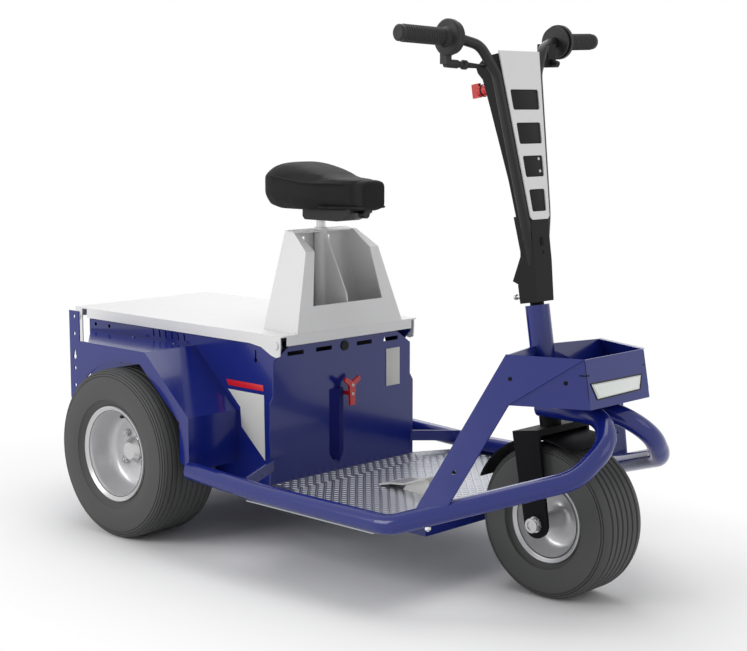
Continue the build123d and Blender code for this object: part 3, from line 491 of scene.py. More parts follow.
def tube(points: Sequence[Vector], radius: "float | Callable[[float], float]", steps: int = 8) -> Filler:
    """Skin a round tube along a line of points.

    Args:
        points: The line, in metres.
        radius: Radius in metres, or a function that gives it for a share of the way along.
        steps: Segments round the tube.

    Returns:
        A builder for finished_mesh.
    """

    def build(work: bmesh.types.BMesh) -> None:
        """Fill the bmesh."""
        rings = []
        level = Vector((0.31, 0.17, 0.93)).normalized()
        for index, point in enumerate(points):
            ahead = points[min(index + 1, len(points) - 1)] - points[max(index - 1, 0)]
            side = ahead.cross(level).normalized()
            over = side.cross(ahead).normalized()
            r = radius(index / (len(points) - 1)) if callable(radius) else radius
            rings.append([work.verts.new(point + r * (cos(a) * side + sin(a) * over))
                          for a in (2 * pi * step / steps for step in range(steps))])
        loft(work, rings)

    return build


def line(start: Vector, end: Vector, count: int) -> list[Vector]:
    """Divide a straight line into so many points."""
    return [start.lerp(end, index / (count - 1)) for index in range(count)]


def facing(origin: Vector, direction: Vector) -> Matrix:
    """Give the frame at an origin whose Z axis points a given way."""
    return Matrix.Translation(origin) @ direction.normalized().to_track_quat("Z", "X").to_matrix().to_4x4()


def hex_nut(width: float, height: float, bore: float) -> bpy.types.Mesh:
    """Chamfered hexagon nut with its threaded end, about the origin, along Z.

    Args:
        width: Across flats, in millimetres.
        height: Height of the nut.
        bore: Diameter of the stud through it.

    Returns:
        The mesh.
    """
    r, stud = width / 2 / cos(pi / 6), bore / 2
    hexagons = ((r * 0.90, 0.0), (r, height * 0.12), (r, height * 0.85), (r * 0.88, height))
    circles = ((stud + 0.8, height), (stud, height + 0.2), (stud, height * 1.28), (stud - 0.9, height * 1.36))

    def build(work: bmesh.types.BMesh) -> None:
        """Fill the bmesh."""
        rings = [[work.verts.new(Vector((radius * cos(a), radius * sin(a), level)) / 1000)
                  for a in (2 * pi * step / sides for step in range(sides))]
                 for sides, levels in ((6, hexagons), (12, circles)) for radius, level in levels]
        for number in (0, 1, 2, 4, 5, 6):
            bridge(work, rings[number], rings[number + 1])
        outer, inner = rings[3], rings[4]
        for step in range(6):
            below = [outer[step], outer[(step + 1) % 6]]
            work.faces.new(below + [inner[(2 * step + 2) % 12], inner[2 * step + 1], inner[2 * step]])
        work.faces.new(rings[7])
        work.faces.new(list(reversed(rings[0])))

    return finished_mesh("nut", build, 25)


# ---------------------------------------------------------------- geometry nodes
class Layout(Enum):
    """How a repeater sets out its copies."""
    RING = "GeometryNodeMeshCircle"
    GRID = "GeometryNodeMeshGrid"
    ROW = "GeometryNodeMeshLine"


class Repeater:
    """Geometry node group that copies a template over a ring, a grid or a row."""

    SEED = 7
    INPUTS = {"Count": "Int", "Rows": "Int", "Length": "Float", "Width": "Float", "Turn": "Float",
              "Spread": "Float", "Seed": "Int", "Material": "Material"}

    def __init__(self, layout: Layout) -> None:
        """Build the layout's node group."""
        self.layout = layout
        self.group = bpy.data.node_groups.new(f"repeat_{layout.name.lower()}", "GeometryNodeTree")
        face = self.group.interface
        for way in ("OUTPUT", "INPUT"):
            face.new_socket("Geometry", in_out=way, socket_type="NodeSocketGeometry")
        for label, kind in self.INPUTS.items():
            face.new_socket(label, in_out="INPUT", socket_type="NodeSocket" + kind)
        self.source = self.add("NodeGroupInput", {}, {})
        self.build()

    def add(self, kind: str, settings: dict, inputs: dict) -> bpy.types.Node:
        """Add a node with its settings and inputs.

        Args:
            kind: Blender's node type.
            settings: Attribute values.
            inputs: Values or output sockets by input name or index.

        Returns:
            The node.
        """
        made = self.group.nodes.new(kind)
        for key, value in settings.items():
            setattr(made, key, value)
        for key, value in inputs.items():
            if isinstance(value, bpy.types.NodeSocket):
                self.group.links.new(value, made.inputs[key])
            else:
                made.inputs[key].default_value = value
        return made

    def math(self, operation: str, *values: "bpy.types.NodeSocket | float") -> bpy.types.NodeSocket:
        """Add a Math node on the values and give its result."""
        return self.add("ShaderNodeMath", {"operation": operation}, dict(enumerate(values))).outputs[0]

    def along_z(self, value: bpy.types.NodeSocket) -> bpy.types.NodeSocket:
        """Give the vector with a value on its Z axis."""
        return self.add("ShaderNodeCombineXYZ", {}, {"Z": value}).outputs[0]

    def build(self) -> None:
        """Lay out the group's nodes."""
        given = self.source.outputs
        index = self.add("GeometryNodeInputIndex", {}, {}).outputs[0]
        if self.layout is Layout.RING:
            sizes = {"Vertices": given["Count"], "Radius": given["Length"]}
            turn = self.math("MULTIPLY", index, self.math("DIVIDE", 2 * pi, given["Count"]))
        elif self.layout is Layout.GRID:
            sizes = {"Size X": given["Length"], "Size Y": given["Width"],
                     "Vertices X": given["Count"], "Vertices Y": given["Rows"]}
            turn = self.math("MULTIPLY_ADD", self.math("MODULO", index, 2.0), pi / 2, given["Turn"])
        else:
            sizes = {"Count": given["Count"], "Offset": self.along_z(given["Length"])}
            turn = given["Turn"]
        spots = self.add(self.layout.value, {}, sizes)
        smallest = self.math("SUBTRACT", 1.0, given["Spread"])
        size = self.add("FunctionNodeRandomValue", {"data_type": "FLOAT"},
                        {2: smallest, 3: 1.0, "Seed": given["Seed"]})
        copies = self.add("GeometryNodeInstanceOnPoints", {}, {
            "Points": spots.outputs["Mesh"], "Instance": given["Geometry"], "Rotation": self.along_z(turn),
            "Scale": size.outputs[1]})
        real = self.add("GeometryNodeRealizeInstances", {}, {"Geometry": copies.outputs[0]})
        clad = self.add("GeometryNodeSetMaterial", {},
                        {"Geometry": real.outputs[0], "Material": given["Material"]})
        self.add("NodeGroupOutput", {}, {0: clad.outputs[0]})

    def copies(self, name: str, template: bpy.types.Mesh, material: bpy.types.Material, place: Matrix,
               **sizes: "float | int") -> bpy.types.Mesh:
        """Copy a template and give the result as one mesh.

        Args:
            name: Name of the new mesh.
            template: Mesh to copy, about the origin.
            material: Material of the copies.
            place: Where the layout's own frame lies.
            sizes: Named inputs of the group.

        Returns:
            The mesh in place.
        """
        carrier = bpy.data.objects.new(name + "_carrier", template)
        bpy.context.scene.collection.objects.link(carrier)
        modifier = carrier.modifiers.new("repeat", "NODES")
        modifier.node_group = self.group
        values = {"Seed": self.SEED, "Material": material, **sizes}
        for item in self.group.interface.items_tree:
            if item.item_type == "SOCKET" and item.in_out == "INPUT" and item.name in values:
                modifier[item.identifier] = values[item.name]
        mesh = applied(carrier)
        carrier.modifiers.remove(modifier)
        bpy.data.objects.remove(carrier)
        mesh.transform(place)
        mesh.name = name
        return mesh


@dataclass
class Workshop:
    """What every sub-assembly builds with.

    Attributes:
        paint: The palette of finishes.
        ring: Repeater round a ring.
        grid: Repeater over a grid.
        row: Repeater along a row.
    """
    paint: Palette
    ring: Repeater
    grid: Repeater
    row: Repeater

    def fit(self, name: str, shape: "Filler | bpy.types.Mesh", finish: str, body: str, sharp: float = 32.0,
            stands_for: Iterable[str] = ()) -> bpy.types.Object:
        """Make a piece and place it on a body.

        Args:
            name: Piece name.
            shape: A builder for finished_mesh, or a finished mesh that is already in place.
            finish: Name of its finish.
            body: The CAD body it moves with.
            sharp: Angle above which an edge stays sharp, in degrees, where the mesh is built here.
            stands_for: CAD nodes that it replaces.

        Returns:
            The object.
        """
        mesh = shape if isinstance(shape, bpy.types.Mesh) else finished_mesh(name, shape, sharp)
        mesh.materials.clear()
        mesh.materials.append(self.paint(finish))
        made = bpy.data.objects.new(name, mesh)
        bpy.context.scene.collection.objects.link(made)
        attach(made, body)
        if stands_for:
            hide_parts(*stands_for)
        log.info("%s rides on %s", name, body)
        return made


# ---------------------------------------------------------------- wheels
@dataclass
class RibbedTyre:
    """Road tyre with ribs round its tread.

    Attributes:
        node: CAD node it stands for.
        body: Body it turns with.
        radius: Outside radius, mm.
        half: Half-width, mm.
        bead: Radius at the rim's flange, mm.
        flange: Half-width at the flange, mm.
        grooves: Places of the grooves from the middle, mm.
        groove: Width and depth of a groove, mm.
        lip: Rounding of a groove's edge, mm.
        slope: How far a groove's side leans in, mm.
        scores: How many fine grooves run round each shoulder.
        toe: Thickness of the tyre below the flange, mm.
    """
    node: str
    body: str
    radius: float
    half: float
    bead: float
    flange: float
    grooves: tuple[float, ...]
    groove: Pair = (4.2, 7.0)
    lip: float = 0.8
    slope: float = 1.2
    scores: int = 4
    toe: float = 13.0

    def half_profile(self) -> list[Pair]:
        """Give the profile from the tread's middle out to the bead.

        Returns:
            Points as (radius, distance from the middle plane).
        """
        width, depth = self.groove
        r, half = self.radius, self.half
        points: list[Pair] = [(r, 0.0)]
        for place in self.grooves:
            near, far = place - width / 2, place + width / 2
            points += [(r, near - self.lip), (r - self.lip, near), (r - depth, near + self.slope),
                       (r - depth, far - self.slope), (r - self.lip, far), (r, far + self.lip)]
        # The shoulder, from the tread's edge down.
        shoulder = [(r - 1.2, 0.78 * half), (r - 3.5, 0.87 * half), (0.962 * r, 0.925 * half),
                    (0.935 * r, 0.957 * half), (0.905 * r, 0.975 * half)]
        points.append(shoulder[0])
        stretches = list(zip(shoulder, shoulder[1:]))
        for number, (start, end) in enumerate(stretches):
            points += self.scored(start, end) if number >= len(stretches) - self.scores else [end]
        # The wall, which is widest half-way down, and the ring that guards the flange.
        wall = (self.bead + 0.94 * r) / 2
        points += [(0.86 * r, 0.988 * half), (wall, half), (wall - 10, 0.992 * half),
                   (wall - 22, 0.968 * half)]
        ring, middle = self.bead + 15, (half + self.flange) / 2
        return points + [(ring + 5, middle + 4), (ring + 2, middle + 4.5), (ring, middle + 2.5),
                         (ring - 6, self.flange + 4), (self.bead + 3, self.flange + 1)]

    @staticmethod
    def scored(start: Pair, end: Pair, depth: float = 2.2) -> list[Pair]:
        """Cut a fine groove into the middle of a stretch of the shoulder.

        Args:
            start: Where the stretch begins.
            end: Where it ends.
            depth: Depth of the groove, mm.

        Returns:
            The points after the start.
        """
        dr, dy = end[0] - start[0], end[1] - start[1]
        length = (dr * dr + dy * dy) ** 0.5
        inward = (-dy / length * depth, dr / length * depth)
        lip, foot = 1.1 / length, 0.5 / length
        spots = ((0.5 - lip, 0), (0.5 - foot, 1), (0.5 + foot, 1), (0.5 + lip, 0), (1.0, 0))
        return [(start[0] + dr * share + inward[0] * cut, start[1] + dy * share + inward[1] * cut)
                for share, cut in spots]

    def build(self, shop: Workshop) -> None:
        """Make the tyre.

        Args:
            shop: Finishes and repeaters.
        """
        low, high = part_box(self.node)
        half = self.half_profile()
        inner, foot = self.bead - self.toe, self.bead + 1.0
        toe = [(foot, self.flange), (inner, self.flange), (inner, -self.flange), (foot, -self.flange)]
        profile = half + toe + [(r, -y) for r, y in reversed(half[1:])]
        shape = lathe(profile, (low + high) / 2, Vector((0, 1, 0)), 112)
        shop.fit(self.node + "_ribbed", shape, "tyre_rubber", self.body, 40, [self.node])


@dataclass
class DishedRim:
    """Pressed rim: rounded lip, deep bowl and flat centre.

    Attributes:
        node: CAD node it stands for.
        body: Body it turns with.
        side: 1 where the bowl opens to the left, -1 to the right.
        outline: Closed section as (radius, distance outboard), mm.
    """
    node: str
    body: str
    side: int
    outline: tuple[Pair, ...]

    def build(self, shop: Workshop) -> None:
        """Make the rim.

        Args:
            shop: Finishes and repeaters.
        """
        low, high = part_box(self.node)
        shape = lathe(self.outline, (low + high) / 2, Vector((0, self.side, 0)), 72)
        shop.fit(self.node + "_dished", shape, "silver_rim_paint", self.body, 40, [self.node])


# Sections run from the outer lip down the bowl to the centre, and back along the barrel and the inner lip.
REAR_RIM = (
    (103.2, 70.2), (116.2, 70.6), (116.4, 73.4), (115.2, 75.4), (113.2, 75.9), (111.0, 74.6), (108.5, 71.9),
    (105.5, 70.6), (102.6, 67.5), (100.6, 62), (99.0, 52), (97.6, 38), (95.5, 24), (91.5, 13), (85, 6.8),
    (76, 4.4), (62, 4.0), (30, 4.0), (30, -2), (80, -2), (90, 0), (96.8, -8), (97.2, -30), (97.2, -72),
    (99, -75.6), (114, -75.9), (116.4, -74), (116.4, -70.6), (103.2, -70.2), (101.5, -60), (101.5, 60),
)
FRONT_RIM = (
    (77.0, 50.3), (89.6, 50.6), (89.9, 53.2), (88.8, 55.0), (87.0, 55.6), (85.0, 54.4), (83.0, 51.6),
    (80.6, 50.6), (76.6, 47.5), (74.9, 42), (73.8, 32), (71.5, 20), (66, 10), (57, 5), (44, 4), (30, 5),
    (22, 9), (18, 18), (18, 76), (10.5, 76), (10.5, -76), (18, -76), (18, -10), (30, -2), (60, -2),
    (68, 1), (71.4, -8), (71.7, -50), (74, -54), (86, -55.6), (89.9, -53), (89.6, -50.6), (77.0, -50.3),
    (75.6, -44), (75.6, 44),
)


@dataclass
class WheelTrim:
    """Nuts, collar and valve of a rear wheel.

    Attributes:
        side: 1 for the left wheel, -1 for the right.
        nuts: How many hold the rim.
        nut: Width across flats, height and bore of one, mm.
        pitch_radius: Radius of their circle, mm.
        first_nut: Angle of the first one, degrees.
        disc_face: How far the rim's centre lies outboard, m.
        collar: Section of the collar as (radius, distance outboard), mm.
        stem: Place of the valve in the wheel's own frame, m.
        valve: Section of the valve, mm.
    """
    side: int
    nuts: int = 4
    nut: Point = (17.0, 11.0, 10.0)
    pitch_radius: float = 49.0
    first_nut: float = 38.0
    disc_face: float = 0.0042
    collar: tuple[Pair, ...] = ((22.5, 0.0), (31.5, 0.0), (33.0, 2.0), (33.0, 6.5), (31.0, 8.0), (30.2, 8.0),
                                (30.2, 1.5), (22.5, 1.5))
    stem: Point = (0.081, 0.024, 0.008)
    valve: tuple[Pair, ...] = ((0, -6), (5.2, -6), (5.2, 2), (3.4, 6), (3.4, 15), (4.2, 15.5), (4.2, 24),
                               (3.2, 26), (0, 26))

    def build(self, shop: Workshop) -> None:
        """Make the nuts, the hub's collar and the valve.

        Args:
            shop: Finishes and repeaters.
        """
        hand = dict(HANDS)[self.side]
        body = "rear_wheel_" + hand
        low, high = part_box("rear_tyre_" + hand)
        centre, out = (low + high) / 2, Vector((0, self.side, 0))
        disc = centre + out * self.disc_face
        place = facing(disc, out) @ Matrix.Rotation(radians(self.first_nut), 4, "Z")
        nuts = shop.ring.copies("wheel_nuts_" + hand, hex_nut(*self.nut), shop.paint("bright_steel"), place,
                                Count=self.nuts, Length=self.pitch_radius / 1000, Spread=0.0)
        shop.fit("wheel_nuts_" + hand, nuts, "bright_steel", body)
        shop.fit("hub_collar_" + hand, lathe(self.collar, disc, out, 40), "bright_steel", body, 30)
        stem = facing(centre, out) @ Vector(self.stem)
        shop.fit("valve_" + hand, lathe(self.valve, stem, out, 16), "soft_rubber", body, 30)


# ---------------------------------------------------------------- saddle
@dataclass
class Saddle:
    """Padded saddle with a piped edge.

    Attributes:
        sections: Station, half-width, height of the crown, edge and bottom of each section, mm.
        swell: Furthest a point may move as the foam fills the cover, m.
        voxel: Size of the even mesh that the cloth run needs, m.
        frames: Length of the cloth run.
        pressure: Pressure of the foam.
        stiffness: How hard the cover is to stretch.
        piped: First and last section that the piping passes.
        piping: Radius of the piping, m.
    """
    sections: tuple[tuple[float, float, float, float, float], ...] = (
        (191, 44, 874, 862, 820), (194, 66, 884, 868, 812), (201, 82, 891, 871, 804),
        (212, 95, 895, 872, 799), (228, 106, 897, 872, 797), (250, 111, 897, 870, 796),
        (280, 111, 892, 867, 796), (315, 109, 884, 862, 796), (345, 104, 875, 858, 796),
        (370, 95, 867, 856, 796), (395, 83, 862, 856, 796), (420, 71, 860, 856, 796),
        (440, 60, 859, 856, 796), (454, 51, 858, 856, 796), (461, 43, 853, 850, 797),
        (466, 40, 853, 850, 797), (471, 41, 860, 857, 796), (483, 40.5, 861, 858, 796),
        (488.5, 39, 859, 856, 796.5), (491, 36, 855, 852, 799),
    )
    swell: float = 0.005
    voxel: float = 0.005
    frames: int = 20
    pressure: float = 4.0
    stiffness: float = 40.0
    piped: tuple[int, int] = (5, 12)
    piping: float = 0.0024

    @staticmethod
    def ring(x: float, half: float, crown: float, edge: float, bottom: float) -> list[Vector]:
        """Give one section: flat bottom, sloping flank, upright side and domed top.

        The flat bottom has 0.80 of the width where the saddle is wide and 0.94 where it is narrow. The flank
        is 24 mm high where the saddle is wide.

        Args:
            x: Station.
            half: Half-width.
            crown: Height of the middle of the top.
            edge: Height of the top's edge.
            bottom: Height of the bottom.

        Returns:
            The points in metres.
        """
        keel = half * min(max(0.80 + 0.14 * (60 - half) / 20, 0.80), 0.94)
        flank = bottom + 24 * (1 - (keel / half - 0.80) / 0.2)
        side = [(keel * 0.5, bottom), (keel, bottom), ((keel + half) / 2, (bottom + flank) / 2),
                (half, flank), (half, (flank + edge) / 2), (half, edge - 6), (half - 1.6, edge - 1.6)]
        steps = 12
        for step in range(steps):
            share = 1 - (step + 1) / (steps + 1)
            side.append(((half - 5) * share, edge + (crown - edge) * (1 - share ** 3.4)))
        right = [(0.0, bottom)] + side + [(0.0, crown)]
        return [at(x, y, z) for y, z in right] + [at(x, -y, z) for y, z in reversed(side)]

    def shell(self, work: bmesh.types.BMesh) -> None:
        """Loft the sections into a bmesh."""
        loft(work, [[work.verts.new(point) for point in self.ring(*section)] for section in self.sections])

    def swollen(self, holder: bpy.types.Object) -> bpy.types.Mesh:
        """Run the holder's mesh as cloth under pressure.

        Args:
            holder: Object with the even mesh.

        Returns:
            The mesh, with no point moved further than the swell.
        """
        scene = bpy.context.scene
        rest = [vertex.co.copy() for vertex in holder.data.vertices]
        cloth = holder.modifiers.new("cover", "CLOTH")
        cloth.settings.quality = 5
        cloth.settings.use_pressure = True
        cloth.settings.uniform_pressure_force = self.pressure
        cloth.settings.effector_weights.gravity = 0.0
        cloth.settings.tension_stiffness = self.stiffness
        cloth.settings.compression_stiffness = self.stiffness
        for number in range(1, self.frames + 1):
            scene.frame_set(number)
        mesh = applied(holder)
        holder.modifiers.remove(cloth)
        for vertex, start in zip(mesh.vertices, rest):
            move = vertex.co - start
            if move.length > self.swell:
                vertex.co = start + move.normalized() * self.swell
        scene.frame_set(1)
        return mesh

    def filled(self, mesh: bpy.types.Mesh) -> bpy.types.Mesh:
        """Fill the cover with foam and smooth it.

        Args:
            mesh: The lofted cover.

        Returns:
            The swollen, smooth cover.
        """
        holder = bpy.data.objects.new("cover_work", mesh)
        bpy.context.scene.collection.objects.link(holder)
        even = holder.modifiers.new("even", "REMESH")
        even.mode = "VOXEL"
        even.voxel_size = self.voxel
        remeshed = applied(holder)
        holder.modifiers.remove(even)
        holder.data = remeshed
        holder.data = self.swollen(holder)
        smooth = holder.modifiers.new("smooth", "SMOOTH")
        smooth.factor = 0.5
        smooth.iterations = 4
        finer = holder.modifiers.new("finer", "SUBSURF")
        finer.levels = finer.render_levels = 1
        cover = applied(holder)
        holder.modifiers.clear()
        bpy.data.objects.remove(holder)
        cover.shade_smooth()
        return cover

    def build(self, shop: Workshop) -> None:
        """Make the cover and the piping round its upper edge.

        Args:
            shop: Finishes and repeaters.
        """
        cover = self.filled(finished_mesh("saddle_cover", self.shell))
        cushion = shop.fit("saddle_cover", cover, "saddle_vinyl", "lid", stands_for=["seat_cushion"])
        first, last = self.piped
        for side, hand in HANDS:
            run = [at(x, side * (half - 0.6), edge - 1.0)
                   for x, half, _, edge, _ in self.sections[first:last + 1]]
            piping = shop.fit("saddle_piping_" + hand, tube(run, self.piping), "saddle_vinyl", "lid", 60)


# ---------------------------------------------------------------- body trim
@dataclass
class PanelGraphics:
    """Printed patch and stripe on each side wall, and the folded guide and blank plate in front.

    Attributes:
        wall: Distance of the side walls' prints from the centre plane, mm.
        patch: Corners of the patch as (station, height), mm.
        stripe: Corners of the stripe above it.
        plate: Width and height limits of the blank plate.
        guide_edges: Edges of the handle's guide from the centre plane, mm.
        guide_heights: Foot of the guide's ridge, foot of its edges and its top, mm.
        ridge: How far the guide's ridge stands out, m.
    """
    wall: float = 218.2
    patch: tuple[Pair, ...] = ((214, 368), (341, 368), (343, 213), (261, 283), (258, 329))
    stripe: tuple[Pair, ...] = ((208, 391), (338, 391), (340, 377), (216, 377))
    plate: tuple[Pair, Pair] = ((144, 192), (349, 442))
    guide_edges: Pair = (-52.0, -4.0)
    guide_heights: Point = (186.0, 210.0, 366.0)
    ridge: float = 0.010

    def guide(self, front: float) -> Filler:
        """Fold the guide below the pull handle.

        Args:
            front: Where the front panel's face lies, m.

        Returns:
            A builder for finished_mesh.
        """
        near, far = self.guide_edges
        ridge_foot, edge_foot, top = self.guide_heights
        folds = ((0.0, near, edge_foot), (self.ridge, (near + far) / 2, ridge_foot), (0.0, far, edge_foot))

        def build(work: bmesh.types.BMesh) -> None:
            """Fill the bmesh."""
            rows = [[work.verts.new(Vector((front + lift, y / 1000, z / 1000))) for z in (foot, top)]
                    for lift, y, foot in folds]
            for here, there in zip(rows, rows[1:] + rows[:1]):
                work.faces.new([here[0], there[0], there[1], here[1]])
            work.faces.new([row[0] for row in rows])
            work.faces.new([row[1] for row in reversed(rows)])
            soften(work, 0.0008)

        return build

    def build(self, shop: Workshop) -> None:
        """Make the prints, the guide and the plate.

        Args:
            shop: Finishes and repeaters.
        """
        for side, hand in HANDS:
            for name, outline, finish in (("patch", self.patch, "printed_patch"),
                                          ("stripe", self.stripe, "red_stripe")):
                corners = [at(x, side * self.wall, z) for x, z in outline]
                shape = prism(corners, Vector((0, side * 0.0006, 0)), 0.0001)
                shop.fit(f"{name}_{hand}", shape, finish, "chassis")
        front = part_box("front_panel")[1].x + 0.0002
        # The guide takes the darker, dull blue, which paints in the shade seen below the pull handle where
        # the panel reflects no light.
        shop.fit("handle_guide", self.guide(front), "shaded_blue_paint", "chassis")
        (y0, y1), (z0, z1) = self.plate
        corners = [Vector((front, y / 1000, z / 1000)) for y, z in ((y0, z0), (y1, z0), (y1, z1), (y0, z1))]
        shop.fit("blank_plate", prism(corners, AHEAD * 0.0014, 0.0005), "printed_patch", "chassis")


@dataclass
class Fastener:
    """One visible bolt, screw or rivet.

    Attributes:
        name: Piece name.
        place: Where its seat is, in metres.
        out: Direction of its head.
        width: Size across, mm.
        body: Body it rides on.
        domed: Whether its head is domed and not a hexagon.
        finish: Its finish.
    """
    name: str
    place: Vector
    out: Vector
    width: float
    body: str
    domed: bool = False
    finish: str = "bright_steel"

    def build(self, shop: Workshop) -> None:
        """Make the fastener.

        Args:
            shop: Finishes and repeaters.
        """
        if self.domed:
            r = self.width / 2
            profile = [(0, -0.5), (r, -0.5), (r, 0.16 * r), (0.9 * r, 0.42 * r), (0.66 * r, 0.62 * r),
                       (0.4 * r, 0.7 * r), (0.34 * r, 0.4 * r), (0, 0.36 * r)]
            mesh = finished_mesh(self.name, lathe(profile, self.place, self.out, 20, closed=False), 30)
        else:
            mesh = hex_nut(self.width, self.width * 0.6, self.width * 0.58)
            mesh.transform(facing(self.place, self.out))
        shop.fit(self.name, mesh, self.finish, self.body)


@dataclass
class WeldBead:
    """Rippled weld along a straight line.

    Attributes:
        name: Piece name.
        points: Points of the line, in metres.
        body: Body it rides on.
        finish: Paint over the weld.
        radius: Size of the bead, m.
        spacing: Distance between the bead's rings, m; two of them make a ripple.
    """
    name: str
    points: list[Vector]
    body: str
    finish: str
    radius: float = 0.0022
    spacing: float = 0.0012

    def build(self, shop: Workshop) -> None:
        """Make the bead.

        Args:
            shop: Finishes and repeaters.
        """
        dense: list[Vector] = []
        for start, end in zip(self.points, self.points[1:]):
            count = max(3, int((end - start).length / self.spacing))
            dense += line(start, end, count)[:-1]
        dense.append(self.points[-1])
        ripples = len(dense) * 0.5

        def size(share: float) -> float:
            """Give the bead's radius for a share of the way along."""
            return self.radius * (0.86 + 0.14 * abs(sin(share * ripples * pi)))

        shop.fit(self.name, tube(dense, size, 7), self.finish, self.body, 60)


@dataclass
class BodyTrim:
    """Small parts on the box, the fenders, the tubes, the basket and the lid.

    Places are in mm and stated for the left side, and directions are for the left side too.

    Attributes:
        handle_screws: Heights of the screws in the red handle.
        leg_plug: Place of the plug in each front leg.
        leg_out: Direction that the plug faces.
        fender_rivets: Stations of the rivets on each fender.
        fender_top: Their distance from the centre plane and height.
        tower_foot: Ends of the weld along the seat tower's foot.
        strut_foot: Ends of the weld at the corner strut.
        latch: Place of the middle of the lid's latch ring.
        latch_section: Section of the ring's wire as (radius, distance outboard).
        latch_pin: Place of the pin that holds it.
        tube_nut: Place of the nut under each step tube.
        tube_out: Direction that the nut faces.
        battery_top: Stations, half-width and height of the battery's cover.
    """
    handle_screws: Pair = (352.0, 373.0)
    leg_plug: Point = (982.0, 280.5, 299.0)
    leg_out: Point = (0.30, 0.80, 0.42)
    fender_rivets: Pair = (-120.0, 40.0)
    fender_top: Pair = (240.0, 459.0)
    tower_foot: tuple[Point, Point] = ((286.0, 165.5, 514.0), (405.0, 176.0, 514.0))
    strut_foot: tuple[Point, Point] = ((389.0, 234.0, 198.0), (389.0, 234.0, 226.0))
    latch: Point = (-370.0, 228.6, 489.0)
    latch_section: tuple[Pair, ...] = ((8.0, -1.6), (9.6, 0.0), (8.0, 1.6), (6.4, 0.0))
    latch_pin: Point = (-370.0, 226.0, 497.0)
    tube_nut: Point = (951.0, 326.0, 190.2)
    tube_out: Point = (0.2, 0.2, -0.95)
    battery_top: tuple[float, float, float, float] = (-280.0, 330.0, 175.0, 475.2)

    def build(self, shop: Workshop) -> None:
        """Make the trim of the handle, both sides, the lamp and the battery.

        Args:
            shop: Finishes and repeaters.
        """
        red_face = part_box("pull_handle")[1].x
        for number, z in enumerate(self.handle_screws):
            seat = Vector((red_face, 0, z / 1000))
            Fastener(f"handle_screw_{number}", seat, AHEAD, 8, "chassis", True, "printed_patch").build(shop)
        for side, hand in HANDS:
            self.one_side(shop, side, hand)
            BasketMarks(side, hand).build(shop)
        LampSurround().build(shop)
        rear, front, half, top = self.battery_top
        corners = [at(x, y, top) for x, y in ((rear, -half), (front, -half), (front, half), (rear, half))]
        shop.fit("battery_cover", prism(corners, Vector((0, 0, 0.0016))), "battery_case", "chassis")

    def one_side(self, shop: Workshop, side: int, hand: str) -> None:
        """Make the plug, rivets, welds, latch and nut of one side.

        Args:
            shop: Finishes and repeaters.
            side: 1 for the left side, -1 for the right.
            hand: Name of the side.
        """
        out = Vector((0, side, 0))
        normal = mirrored(side, self.leg_out).normalized()
        plug = beside(side, self.leg_plug) + normal * 0.0036
        # The plug's dome is painted near-black: painted shade of the opening in the leg.
        Fastener("leg_plug_" + hand, plug, normal, 8, "chassis", True, "dark_opening").build(shop)
        for number, x in enumerate(self.fender_rivets):
            seat = beside(side, (x, *self.fender_top))
            Fastener(f"fender_rivet_{number}_{hand}", seat, UP, 9, "chassis", True,
                     "blue_gloss_paint").build(shop)
        tower_foot = line(*(beside(side, place) for place in self.tower_foot), 6)
        WeldBead("tower_weld_" + hand, tower_foot, "lid", "white_satin_paint").build(shop)
        strut = [beside(side, place) for place in self.strut_foot]
        WeldBead("strut_weld_" + hand, strut, "chassis", "blue_gloss_paint").build(shop)
        shop.fit("latch_ring_" + hand, lathe(self.latch_section, beside(side, self.latch), out, 24),
                 "bright_steel", "lid", 60)
        Fastener("latch_pin_" + hand, beside(side, self.latch_pin), out, 7, "lid", True).build(shop)
        Fastener("tube_nut_" + hand, beside(side, self.tube_nut), mirrored(side, self.tube_out), 12,
                 "chassis").build(shop)


@dataclass
class BasketMarks:
    """Holes, slot and corner seam of one side of the basket.

    Attributes:
        side: 1 for the left side, -1 for the right.
        hand: Name of the side.
        holes: Place in mm and direction of each hole, stated for the left.
        disc: Section of the near-black disc of painted shade in a hole, mm.
        slot: Ends of the slot's long part and the end of its hook, mm.
        seam: Ends of the seam, mm.
    """
    side: int
    hand: str
    holes: tuple[tuple[Point, Point], ...] = (((1038.2, 176.3, 485.2), (0.315, 0.857, 0.408)),
                                              ((1141.0, 126.1, 482.4), (0.54, 0.835, 0.106)))
    disc: tuple[Pair, ...] = ((0, -0.4), (4.6, -0.4), (4.6, 0.25), (4.2, 0.35), (0, 0.35))
    slot: tuple[Point, Point, Point] = ((1161.9, 110.4, 498.0), (1174.0, 102.4, 498.0), (1175.0, 94.7, 498.0))
    seam: tuple[Point, Point] = ((1169.3, 102.2, 527.5), (1183.2, 103.2, 448.0))

    def build(self, shop: Workshop) -> None:
        """Make the marks.

        Args:
            shop: Finishes and repeaters.
        """
        for number, (place, way) in enumerate(self.holes):
            # Each hole is filled with a near-black disc: painted shade inside the hole.
            hole = lathe(self.disc, beside(self.side, place), mirrored(self.side, way), 24, closed=False)
            shop.fit(f"basket_hole_{number}_{self.hand}", hole, "dark_opening", "chassis")
        start, corner, hook = (beside(self.side, place) for place in self.slot)
        seam = line(*(beside(self.side, place) for place in self.seam), 12)
        # The slot and the seam are near-black lines: painted shade in the slot and along the seam.
        for name, run, radius in (("slot", line(start, corner, 4) + [hook], 0.0013), ("seam", seam, 0.0007)):
            shop.fit(f"basket_{name}_{self.hand}", tube(run, radius), "dark_opening", "chassis", 60)


